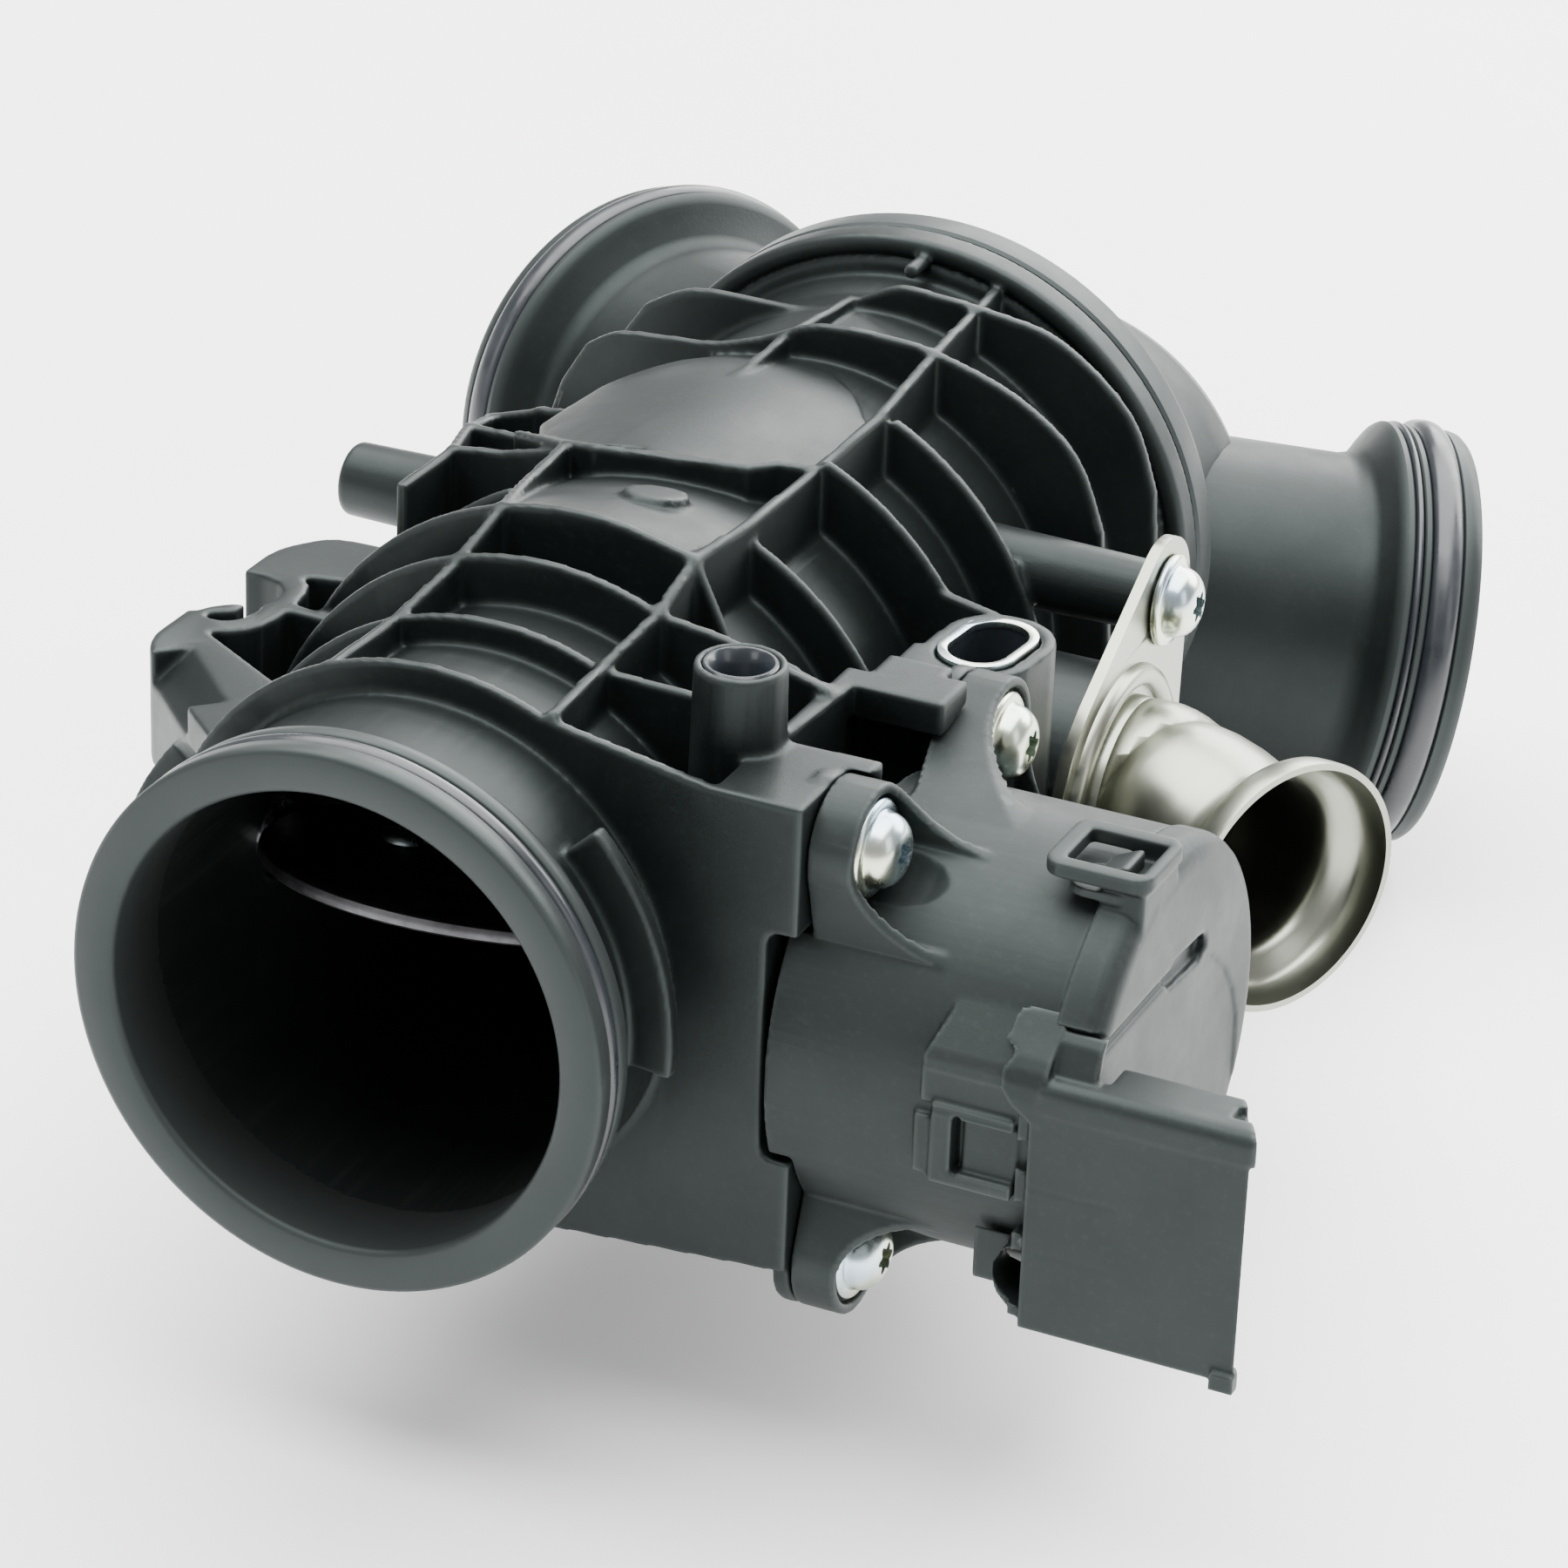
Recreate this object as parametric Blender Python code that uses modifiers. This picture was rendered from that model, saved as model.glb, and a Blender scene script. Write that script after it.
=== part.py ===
"""Electronic throttle body with mixing chamber and twin rear outlets.

Millimetre values are turned into metres by MM.  The origin is the centre of the
inlet face, +Y runs down the bore into the engine, +Z is up, and the actuator is
on the +X side.
"""
import math

import bmesh
import bpy
from mathutils import Matrix, Vector

MM = 0.001
GAP = 0.3                      # clearance between touching pieces
AXIS_X = Vector((1, 0, 0))
AXIS_Z = Vector((0, 0, 1))

# Barrel
BORE_R = 30.0
BARREL_STEPS = 30
INLET_R = 35.6
SKIN_R = 32.6
RIB_T = 1.8
FLANGE_R = 43.0
FLANGE_Y = (166.0, 171.0)
REAR_FLANGE_Y = (171.3, 177.0)

# Throttle shaft, motor and gear train, as (y, z) of axes parallel to X
SHAFT = (42.0, 0.0)
MOTOR = (61.0, -9.0)
SHAFT_R = 4.0
PLATE_R = 29.6
PLATE_T = 2.0
REST_TILT = math.radians(-14.0)  # front edge up
MODULE = 1.0
PINION_TEETH = 9
IDLER_TEETH = (21, 10)
SECTOR_TEETH = 28
SECTOR_SPAN = (-28.0, 86.0)     # toothed part either side of the mesh point

# Actuator
PAD_X = 49.2
CASE_C = (50.0, -6.0)
CASE_R = 27.8
CAVITY_R = 25.2
CASE_X = (49.5, 80.0)
COVER_X = (80.3, 88.0)
EARS = ((33.5, 22.3), (73.0, 20.5), (33.5, -33.0), (73.0, -33.0))
EAR_R = 8.0
BOSS = (34.5, 38.0)            # upright threaded boss in plan
SLOT = ((45.7, 85.0), (46.2, 90.0))  # ends of the slotted boss behind the actuator
SLOT_TOP = 24.5
EAR_X = (49.5, 54.0)

SPIGOT_R = 16.6                # round spigot of the case behind the pad face
MOTOR_R = 11.0
MOTOR_CUP_R = 12.6
BUSH_R = 6.0
AXLE_R = 1.6
HUB_R = 6.6
TERMINALS = 5

# Exhaust gas pipe
PORT = (111.0, -5.0)
PORT_X = 53.2
PLATE_X = (54.1, 55.6)
PIPE_SCREWS = ((124.5, 18.0), (97.5, -28.0))
PIPE_R = 12.6
PIPE_DIR = Vector((0.885, -0.465, 0.0)).normalized()

# Rear outlets: a point on the axis, the direction and the distance to the lip
LEFT_ORIGIN = Vector((0, 200, -17))
LEFT_DIR = Vector((-0.870, 0.482, -0.1045)).normalized()
LEFT_L = 88.0
LEFT_LIP_R = 36.0
LEFT_TUBE_R = 28.5
LEFT_GROOVES = (4.8,)
RIGHT_ORIGIN = Vector((0, 200, -20.9))
RIGHT_DIR = Vector((0.864, 0.479, -0.156)).normalized()
RIGHT_L = 66.5
RIGHT_LIP_R = 31.0
RIGHT_TUBE_R = 25.2
RIGHT_GROOVES = (3.0, 3.0)
OUTLET_STEPS = 28
CHAMBER_Z = -17.0
CHAMBER_R = 34.0

PALETTE = {
    "glass_filled_plastic": ((0.028, 0.030, 0.030), 0.55, 0.0),
    "cover_plastic": ((0.040, 0.043, 0.042), 0.50, 0.0),
    "seal_rubber": ((0.012, 0.014, 0.018), 0.40, 0.0),
    "zinc_steel": ((0.72, 0.76, 0.74), 0.28, 1.0),
    "stainless": ((0.55, 0.52, 0.46), 0.32, 1.0),
    "machined_steel": ((0.60, 0.60, 0.60), 0.25, 1.0),
    "brass": ((0.72, 0.52, 0.22), 0.30, 1.0),
    "aluminium": ((0.70, 0.70, 0.70), 0.35, 1.0),
    "white_plastic": ((0.75, 0.74, 0.70), 0.45, 0.0),
    "board_green": ((0.03, 0.16, 0.07), 0.50, 0.0),
}


# ---------------------------------------------------------------- helpers

def clear_scene():
    for obj in list(bpy.data.objects):
        bpy.data.objects.remove(obj, do_unlink=True)


def make_collection(name):
    coll = bpy.data.collections.new(name)
    bpy.context.scene.collection.children.link(coll)
    return coll


def link_mesh(name, mesh, coll):
    obj = bpy.data.objects.new(name, mesh)
    coll.objects.link(obj)
    return obj


def aim(origin, direction):
    """Matrix whose local Z runs along direction and local X lies level."""
    z = Vector(direction).normalized()
    x = AXIS_Z.cross(z)
    if x.length < 1e-6:
        x = AXIS_X.copy()
    x.normalize()
    y = z.cross(x)
    rot = Matrix((x, y, z)).transposed().to_4x4()
    return Matrix.Translation(Vector(origin) * MM) @ rot


def along_x(x, yz):
    """Matrix with local Z along +X, local X along +Y and local Y along +Z."""
    rot = Matrix(((0, 0, 1), (1, 0, 0), (0, 1, 0))).to_4x4()
    return Matrix.Translation(Vector((x, yz[0], yz[1])) * MM) @ rot


def along_y(y, x=0.0, z=0.0):
    """Matrix with local Z along +Y, local X along +Z and local Y along +X."""
    rot = Matrix(((0, 1, 0), (0, 0, 1), (1, 0, 0))).to_4x4()
    return Matrix.Translation(Vector((x, y, z)) * MM) @ rot


def upright(x, y, z):
    return Matrix.Translation(Vector((x, y, z)) * MM)


def box(name, low, high):
    """Axis-aligned block between two corners in millimetres."""
    bm = bmesh.new()
    bmesh.ops.create_cube(bm, size=1.0)
    size = [(h - l) * MM for l, h in zip(low, high)]
    centre = [(h + l) * 0.5 * MM for l, h in zip(low, high)]
    bmesh.ops.scale(bm, vec=size, verts=bm.verts)
    bmesh.ops.translate(bm, vec=centre, verts=bm.verts)
    mesh = bpy.data.meshes.new(name)
    bm.to_mesh(mesh)
    bm.free()
    return link_mesh(name, mesh, WORK)


def cylinder(name, matrix, radius, length, segments=24):
    """Solid cylinder that starts at the matrix origin along local Z."""
    bm = bmesh.new()
    bmesh.ops.create_cone(bm, cap_ends=True, segments=segments,
                          radius1=radius * MM, radius2=radius * MM, depth=length * MM)
    bmesh.ops.translate(bm, vec=(0, 0, length * MM / 2), verts=bm.verts)
    bm.transform(matrix)
    mesh = bpy.data.meshes.new(name)
    bm.to_mesh(mesh)
    bm.free()
    return link_mesh(name, mesh, WORK)


def turned(name, matrix, profile, steps=32, closed=True):
    """Screw a profile of (radius, height) about local Z.

    The outer side runs from top to bottom.  An open profile starts and ends on
    the axis, a closed one makes a ring.
    """
    mesh = bpy.data.meshes.new(name)
    bm = bmesh.new()
    verts = [bm.verts.new((r * MM, 0, h * MM)) for r, h in profile]
    for first, second in zip(verts, verts[1:]):
        bm.edges.new((first, second))
    if closed:
        bm.edges.new((verts[-1], verts[0]))
    bm.to_mesh(mesh)
    bm.free()
    obj = link_mesh(name, mesh, WORK)
    screw = obj.modifiers.new("Turn", "SCREW")
    screw.steps = steps
    screw.render_steps = steps
    screw.use_merge_vertices = True
    screw.merge_threshold = 0.00001
    obj.matrix_world = matrix
    return bake(obj)


def prism(name, matrix, outline, height):
    """Extrude a flat outline of (x, y) points from the matrix origin along local Z."""
    curve = bpy.data.curves.new(name, "CURVE")
    curve.dimensions = "2D"
    curve.fill_mode = "BOTH"
    curve.extrude = height * MM / 2
    spline = curve.splines.new("POLY")
    spline.points.add(len(outline) - 1)
    for point, (x, y) in zip(spline.points, outline):
        point.co = (x * MM, y * MM, 0, 1)
    spline.use_cyclic_u = True
    obj = bpy.data.objects.new(name, curve)
    WORK.objects.link(obj)
    obj.matrix_world = matrix @ Matrix.Translation((0, 0, height * MM / 2))
    return bake(obj)


def sweep(name, points, radii, resolution=4):
    """Round rod along a polyline, with its own radius at each point."""
    curve = bpy.data.curves.new(name, "CURVE")
    curve.dimensions = "3D"
    curve.bevel_depth = MM
    curve.bevel_resolution = resolution
    curve.use_fill_caps = True
    spline = curve.splines.new("POLY")
    spline.points.add(len(points) - 1)
    for point, co, radius in zip(spline.points, points, radii):
        point.co = (*(Vector(co) * MM), 1)
        point.radius = radius
    obj = bpy.data.objects.new(name, curve)
    WORK.objects.link(obj)
    return bake(obj)


def bake(obj):
    """Replace an object by its evaluated, welded mesh in world space."""
    bpy.context.view_layer.update()
    graph = bpy.context.evaluated_depsgraph_get()
    mesh = bpy.data.meshes.new_from_object(obj.evaluated_get(graph))
    bm = bmesh.new()
    bm.from_mesh(mesh)
    bm.transform(obj.matrix_world)
    bmesh.ops.remove_doubles(bm, verts=bm.verts, dist=1e-6)
    bmesh.ops.dissolve_degenerate(bm, edges=bm.edges, dist=1e-7)
    bm.normal_update()
    bm.to_mesh(mesh)
    bm.free()
    name = obj.name
    bpy.data.objects.remove(obj, do_unlink=True)
    return link_mesh(name, mesh, WORK)


def combine(base, others, operation):
    """Boolean the others into base, one after another, and keep one mesh."""
    for other in others:
        mod = base.modifiers.new(operation.title(), "BOOLEAN")
        mod.operation = operation
        mod.solver = "EXACT"
        mod.object = other
        base = bake(base)
        bpy.data.objects.remove(other, do_unlink=True)
    return base


def join(base, *others):
    return combine(base, others, "UNION")


def cut(base, *others):
    return combine(base, others, "DIFFERENCE")


def arc(centre, radius, start, end, count):
    """Points on an arc, angles in degrees."""
    out = []
    for i in range(count + 1):
        a = math.radians(start + (end - start) * i / count)
        out.append((centre[0] + radius * math.cos(a), centre[1] + radius * math.sin(a)))
    return out


def tangent_hull(circles, count=28):
    """Convex outline round several circles of (x, y, radius)."""
    points = []
    for x, y, r in circles:
        points += arc((x, y), r, 0, 360 - 360 / count, count - 1)
    points = sorted(set((round(x, 5), round(y, 5)) for x, y in points))

    def half(seq):
        out = []
        for p in seq:
            while len(out) > 1 and turn(out[-2], out[-1], p) <= 1e-9:
                out.pop()
            out.append(p)
        return out[:-1]

    def turn(a, b, c):
        return (b[0] - a[0]) * (c[1] - a[1]) - (b[1] - a[1]) * (c[0] - a[0])

    return half(points) + half(points[::-1])


def finish(obj, name, material, origin=None):
    """Name the piece, give it its material and put its origin in place."""
    obj.name = name
    obj.data.name = name
    if origin is not None:
        shift = Vector(origin) * MM
        obj.data.transform(Matrix.Translation(-shift))
        obj.location = shift
    colour, rough, metal = PALETTE[material]
    mat = bpy.data.materials.new(name)
    mat.use_nodes = True
    shader = mat.node_tree.nodes["Principled BSDF"]
    shader.inputs["Base Color"].default_value = (*colour, 1)
    shader.inputs["Roughness"].default_value = rough
    shader.inputs["Metallic"].default_value = metal
    obj.data.materials.clear()
    obj.data.materials.append(mat)
    obj.data.shade_smooth()
    obj.data.set_sharp_from_angle(angle=math.radians(35))
    WORK.objects.unlink(obj)
    PARTS.objects.link(obj)
    return obj


# ---------------------------------------------------------------- main housing

def wall(name, start, end, z_low, z_high, thickness=RIB_T):
    """Upright web between two points of the plan view."""
    a = Vector((start[0], start[1], 0))
    b = Vector((end[0], end[1], 0))
    run = (b - a).normalized()
    side = Vector((-run.y, run.x, 0)) * thickness / 2
    corners = [a - side, b - side, b + side, a + side]
    outline = [(c.x, c.y) for c in corners]
    return prism(name, upright(0, 0, z_low), outline, z_high - z_low)


def cross_rib(name, y, outline, thickness=RIB_T):
    """Rib across the barrel from an (x, z) outline."""
    local = [(z, x) for x, z in outline]
    return prism(name, along_y(y - thickness / 2), local, thickness)


def barrel_solid():
    front, back = FLANGE_Y
    profile = [(0, back), (FLANGE_R, back), (FLANGE_R, front), (37.4, front), (36.0, 150),
               (33.6, 100), (SKIN_R, 60), (SKIN_R, 9.4), (35.2, 8.6), (35.2, 6.2), (33.2, 6.2),
               (33.2, 3.2), (INLET_R, 3.2), (INLET_R, 0.6), (INLET_R - 0.6, 0), (0, 0)]
    return turned("barrel", along_y(0), profile, BARREL_STEPS, closed=False)


def barrel_bore():
    profile = [(0, 172), (33.5, 172), (33, 150), (31, 100), (BORE_R, 84), (BORE_R, -1), (0, -1)]
    return turned("bore", along_y(0), profile, BARREL_STEPS, closed=False)


def barrel_ribs():
    """Cross ribs: rings on the round part, shouldered ones near the flange."""
    ribs = []
    front = arc((0, 0), 37.0, 78, 300, 15)
    ribs.append(cross_rib("rib_a", 25, front + [(37.4, -20), (37.4, 30.0)]))
    rings = (("rib_b", 41, 36.4, (28, 33.0)), ("rib_c", 54, 39.2, (39.3, 30.9)))
    for name, y, radius, corner in rings:
        ribs.append(cross_rib(name, y, arc((0, 0), radius, 66, 350, 18) + [corner]))
    for name, y, radius in (("rib_d", 64.5, 41.8), ("rib_e", 79, 39.6)):
        ribs.append(cross_rib(name, y, arc((0, 0), radius, 0, 342, 19)))
    for name, y, radius in (("rib_f", 100, 41.2), ("rib_g", 119, 41.6)):
        outline = arc((0, 0), radius, -150, 62, 13) + [(12, 30), (-20, 20)]
        ribs.append(cross_rib(name, y, outline))
    for name, y in (("rib_h", 138), ("rib_i", 156)):
        crest = arc((0, 0), 43.2, -200, 52, 16)
        crest += [(13, 37.5), (-4, 38), (-8, 36.2), (-14, 32.6), (-23, 32), (-31, 30.5)]
        ribs.append(cross_rib(name, y, crest))
    return ribs


def top_webs():
    """Lengthwise webs and the two raised pads between them."""
    pieces = [
        prism("pad_front", upright(0, 0, 24),
              [(-15, 64), (15, 64), (15, 84), (9, 98), (-15, 92)], 12.2),
        prism("pad_rear", upright(0, 0, 24),
              [(-18, 94), (10, 94), (16, 103), (16, 117), (9, 126), (-10, 138), (-20, 131),
               (-23, 118)], 12.0),
    ]
    right = [((16, 25), (15, 41), 34.2), ((15, 41), (16, 54), 35.6), ((16, 54), (15.4, 64.5), 37.6),
             ((15.4, 64.5), (16, 79), 38.4), ((16, 79), (16, 100), 38.0),
             ((16, 100), (16.5, 117), 37.6), ((16.5, 117), (15, 138), 39.6), ((15, 138), (13.5, 158), 39.8)]
    left = [((-14, 25), (-13, 41), 34.0), ((-13, 41), (-11.4, 54), 35.6),
            ((-11.4, 54), (-11.2, 64.5), 38.4), ((-11.2, 64.5), (-15, 79), 37.8),
            ((-15, 79), (-16, 92), 37.2)]
    for i, (a, b, top) in enumerate(right):
        pieces.append(wall(f"web_right_{i}", a, b, 20, top))
    for i, (a, b, top) in enumerate(left):
        pieces.append(wall(f"web_left_{i}", a, b, 20, top))
    crest = [(-16, 92), (-9, 93.5), (0, 92), (9, 93), (13, 98), (16, 100)]
    for i, (a, b) in enumerate(zip(crest, crest[1:])):
        pieces.append(wall(f"web_crest_{i}", a, b, 24, 38.4))
    pieces.append(wall("web_rear", (-7.5, 114), (-6, 156), 24, 37.4))
    return pieces


def actuator_pad():
    """Block on the +X side that carries the actuator."""
    outline = [(37.4, 30), (PAD_X, 30), (PAD_X, -33), (16, -35.6), (13, -31), (30, -14), (37, 4)]
    front = 25 - RIB_T / 2
    block = prism("pad_block", along_y(front), [(z, x) for x, z in outline], 84 - front)
    pocket = box("pad_pocket", (39.6, 40.6, 11), (PAD_X + 5, 58.2, 40))
    window = box("pad_window", (45.4, 20, -18), (PAD_X + 5, 40, 12.6))
    low_rear = box("low_rear", (36, 68.6, SLOT_TOP), (60, 90, 40))
    low_side = box("low_side", (36, 62.9, SLOT_TOP), (40.7, 70, 40))
    return cut(block, pocket, window, low_rear, low_side)


def side_features():
    """Bosses and lugs round the barrel."""
    pieces = [
        cylinder("boss_upright", upright(*BOSS, 18), 5.7, 22.3, 20),
        cylinder("boss_shaft", along_x(-43, SHAFT), 9.0, 18, 20),
        cylinder("boss_left", along_x(-65.3, (125, 9)), 5.3, 38, 16),
        cylinder("port", along_x(25, PORT), 17.0, PORT_X - 25, 24),
    ]
    for i, yz in enumerate(PIPE_SCREWS):
        pieces.append(cylinder(f"boss_pipe_{i}", along_x(25, yz), 4.8, PORT_X - 25, 16))
    pieces.append(prism("slot_boss", upright(0, 0, 2), slot_outline(7.4), SLOT_TOP - 2))
    pieces.append(wall("slot_web", (33, 99.4), (44, 96.4), 2, SLOT_TOP))
    lug = [(-51.2, 51), (-47.4, 44), (-31, 26), (-24, 26), (-24, 86), (-45.5, 85.6), (-49.4, 81.4),
           (-51.2, 78)]
    pieces.append(prism("left_lug", upright(0, 0, 4), lug, 16))
    for i, (start, end) in enumerate(((-6, 44), (140, 186))):
        sector = arc((0, 0), 38.2, start, end, 6) + arc((0, 0), 31.5, end, start, 6)
        pieces.append(cross_rib(f"neck_lug_{i}", 15, sector, 2.4))
    for i, yz in enumerate(EARS):
        pieces.append(cylinder(f"pad_ear_{i}", along_x(47, yz), EAR_R, PAD_X - 47, 20))
        pieces.append(cylinder(f"ear_post_{i}", along_x(44, yz), 4.2, PAD_X - 44.5, 14))
    return pieces


def slot_outline(radius):
    """Rounded slot of the boss behind the actuator, seen from above."""
    return tangent_hull([(*end, radius) for end in SLOT], 14)


def ear_outline(yz, margin=0.0):
    """Ear round a screw, tapering out of the round case."""
    inner = (CASE_C[0] * 0.55 + yz[0] * 0.45, CASE_C[1] * 0.55 + yz[1] * 0.45, 12.0 + margin)
    return tangent_hull([(*yz, EAR_R + margin), inner], 20)


def case_clearance():
    """Room for the actuator beyond the pad face and in its pockets."""
    rooms = [
        cylinder("case_room", along_x(PAD_X, CASE_C), CASE_R + 0.5, 12, 36),
        cylinder("spigot_room", along_x(45.8, SHAFT), SPIGOT_R + 0.4, 10, 28),
        cylinder("motor_pocket", along_x(36.5, MOTOR), MOTOR_CUP_R + 0.4, 20, 24),
        cylinder("spring_pocket", along_x(39.4, SHAFT), 8.8, 15, 20),
    ]
    for i, yz in enumerate(EARS):
        rooms.append(prism(f"ear_room_{i}", along_x(PAD_X, (0, 0)), ear_outline(yz, 0.5), 12))
    return rooms


def housing_cutters():
    """Bore, bolt holes and slots."""
    lug_slot = tangent_hull([(-46.3, 58.2, 2.6), (-46.9, 66.6, 3.5)], 16)
    cutters = [
        barrel_bore(),
        cylinder("boss_hole", upright(*BOSS, 25), 4.7, 20, 16),
        cylinder("shaft_hole", along_x(-45, SHAFT), BUSH_R + GAP, 90, 20),
        cylinder("port_hole", along_x(20, PORT), PIPE_R + 0.6, 50, 24),
        prism("lug_slot", upright(0, 0, 0), lug_slot, 30),
        box("lug_mouth", (-60, 60.8, 0), (-46.5, 68.0, 30)),
        prism("lug_pocket_front", upright(0, 0, 7),
              [(-46.0, 51.5), (-33, 43.4), (-30, 43.4), (-30, 59.6), (-41, 61.0), (-42.2, 57.5),
               (-43.8, 54.0)], 20),
        prism("lug_pocket_rear", upright(0, 0, 7),
              [(-43.9, 72.2), (-42.0, 69.4), (-41.1, 63.6), (-30, 62.2), (-30, 74.6), (-36, 74.0)], 20),
        prism("slot_hole", upright(0, 0, 8), slot_outline(5.6), 30),
    ]
    for i, yz in enumerate(EARS):
        cutters.append(cylinder(f"ear_hole_{i}", along_x(44.9, yz), 2.8, 20, 10))
    for i, yz in enumerate(PIPE_SCREWS):
        cutters.append(cylinder(f"pipe_hole_{i}", along_x(44, yz), 2.8, 20, 10))
    return cutters


def main_housing():
    body = join(barrel_solid(), *barrel_ribs())
    body = join(body, *top_webs())
    body = join(body, actuator_pad())
    body = join(body, *side_features())
    body = cut(body, *housing_cutters(), *case_clearance())
    return finish(body, "main_housing", "glass_filled_plastic")


# ---------------------------------------------------------------- rear distributor

def outlet_outer(lip_r, tube_r, length, grooves):
    """Profile of an outlet stub: lip, one groove per seal, neck and tube."""
    profile = [(0, length), (lip_r, length)]
    top = length - 2.4
    for width in grooves:
        profile += [(lip_r, top), (lip_r - 1.8, top), (lip_r - 1.8, top - width), (lip_r, top - width)]
        top -= width + 2.4
    profile += [(lip_r, top), (tube_r, top - 2.6), (tube_r, 8), (0, 8)]
    return profile


def stub(name, origin, direct, profile):
    return turned(name, aim(origin, direct), profile, OUTLET_STEPS, closed=False)


def rear_distributor():
    """Flange, collecting chamber and the two outlet stubs."""
    y0, y1 = REAR_FLANGE_Y
    rim = [(0, y1), (FLANGE_R - 0.6, y1), (FLANGE_R, y1 - 1), (FLANGE_R, y0), (0, y0)]
    flange = turned("flange", along_y(0), rim, BARREL_STEPS, closed=False)
    chamber = [(0, 228), (24, 228), (CHAMBER_R - 4, 224), (CHAMBER_R, 214), (CHAMBER_R, y0 + 1.2),
               (0, y0 + 1.2)]
    shell = turned("chamber", along_y(0, z=CHAMBER_Z), chamber, OUTLET_STEPS, closed=False)
    left_out = outlet_outer(LEFT_LIP_R, LEFT_TUBE_R, LEFT_L, LEFT_GROOVES)
    right_out = outlet_outer(RIGHT_LIP_R, RIGHT_TUBE_R, RIGHT_L, RIGHT_GROOVES)
    body = join(flange, shell, stub("left", LEFT_ORIGIN, LEFT_DIR, left_out),
                stub("right", RIGHT_ORIGIN, RIGHT_DIR, right_out))
    passage = cylinder("passage", along_y(y0 - 1), 33.4, 3.6, BARREL_STEPS)
    inner = [(0, 224.5), (22, 224.5), (CHAMBER_R - 7, 220), (CHAMBER_R - 3, 212), (CHAMBER_R - 3, 173),
             (0, 173)]
    room = turned("room", along_y(0, z=CHAMBER_Z), inner, OUTLET_STEPS, closed=False)
    left_in = [(0, LEFT_L + 1), (LEFT_LIP_R - 3, LEFT_L + 1), (31.0, LEFT_L - 6), (26.0, LEFT_L - 16),
               (25.4, 12), (0, 12)]
    right_in = [(0, RIGHT_L + 1), (RIGHT_LIP_R - 3, RIGHT_L + 1), (25, RIGHT_L - 8), (22.6, RIGHT_L - 14),
                (22.4, 12), (0, 12)]
    body = cut(body, passage, room, stub("left_in", LEFT_ORIGIN, LEFT_DIR, left_in),
               stub("right_in", RIGHT_ORIGIN, RIGHT_DIR, right_in))
    return finish(body, "rear_distributor", "glass_filled_plastic")


def seal_ring(name, matrix, inner, outer, low, high, steps=OUTLET_STEPS):
    """Rubber ring with a rounded crest, between two heights."""
    mid = (low + high) / 2
    crest = outer - (outer - inner) * 0.35
    profile = [(crest, high), (outer, mid), (crest, low), (inner, low), (inner, high)]
    return finish(turned(name, matrix, profile, steps), name, "seal_rubber")


def seals():
    seal_ring("inlet_seal", along_y(0), 33.5, 35.4, 3.5, 5.9, BARREL_STEPS)
    outlets = (
        (("left_outlet_seal",), LEFT_ORIGIN, LEFT_DIR, LEFT_LIP_R, LEFT_L, LEFT_GROOVES),
        (("right_outlet_seal_outer", "right_outlet_seal_inner"), RIGHT_ORIGIN, RIGHT_DIR, RIGHT_LIP_R,
         RIGHT_L, RIGHT_GROOVES),
    )
    for names, origin, direct, lip_r, length, grooves in outlets:
        top = length - 2.4
        for name, width in zip(names, grooves):
            seal_ring(name, aim(origin, direct), lip_r - 1.5, lip_r + 0.4, top - width + GAP, top - GAP)
            top -= width + 2.4


# ---------------------------------------------------------------- inserts and screws

def inserts():
    ring = turned("boss_insert", upright(*BOSS, 0),
                  [(4.4, 40.0), (4.4, 26), (3.2, 26), (3.2, 40.0)], 16)
    finish(ring, "boss_insert", "machined_steel")
    sleeve = prism("slot_bush", upright(0, 0, 8.4), slot_outline(5.2), SLOT_TOP - 8.1)
    hole = prism("slot_bush_hole", upright(0, 0, 7), slot_outline(4.0), 30)
    finish(cut(sleeve, hole), "slot_bush", "zinc_steel")


def pan_screw(name, x, yz, head_r=6.2, head_h=4.4, shank_r=2.4, shank=9.0):
    """Washer-head screw along X with a six-lobe recess; x is under the head."""
    profile = [(0, head_h), (head_r * 0.42, head_h), (head_r * 0.66, head_h * 0.78),
               (head_r * 0.78, head_h * 0.34), (head_r * 0.98, head_h * 0.28), (head_r, 0),
               (shank_r, 0), (shank_r, -shank), (0, -shank)]
    body = turned(name, along_x(x, yz), profile, 16, closed=False)
    lobes = []
    for i in range(12):
        a = math.radians(30 * i)
        r = head_r * (0.34 if i % 2 == 0 else 0.24)
        lobes.append((r * math.cos(a), r * math.sin(a)))
    recess = prism("recess", along_x(x + head_h * 0.42, yz), lobes, head_h)
    finish(cut(body, recess), name, "zinc_steel", (x, *yz))


def screws():
    for i, yz in enumerate(EARS):
        pan_screw(f"actuator_screw_{i + 1}", EAR_X[1] + GAP, yz)
    pan_screw("pipe_screw_upper", PLATE_X[1] + GAP, PIPE_SCREWS[0])
    pan_screw("pipe_screw_lower", PLATE_X[1] + GAP, PIPE_SCREWS[1])


# ---------------------------------------------------------------- exhaust gas pipe

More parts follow.
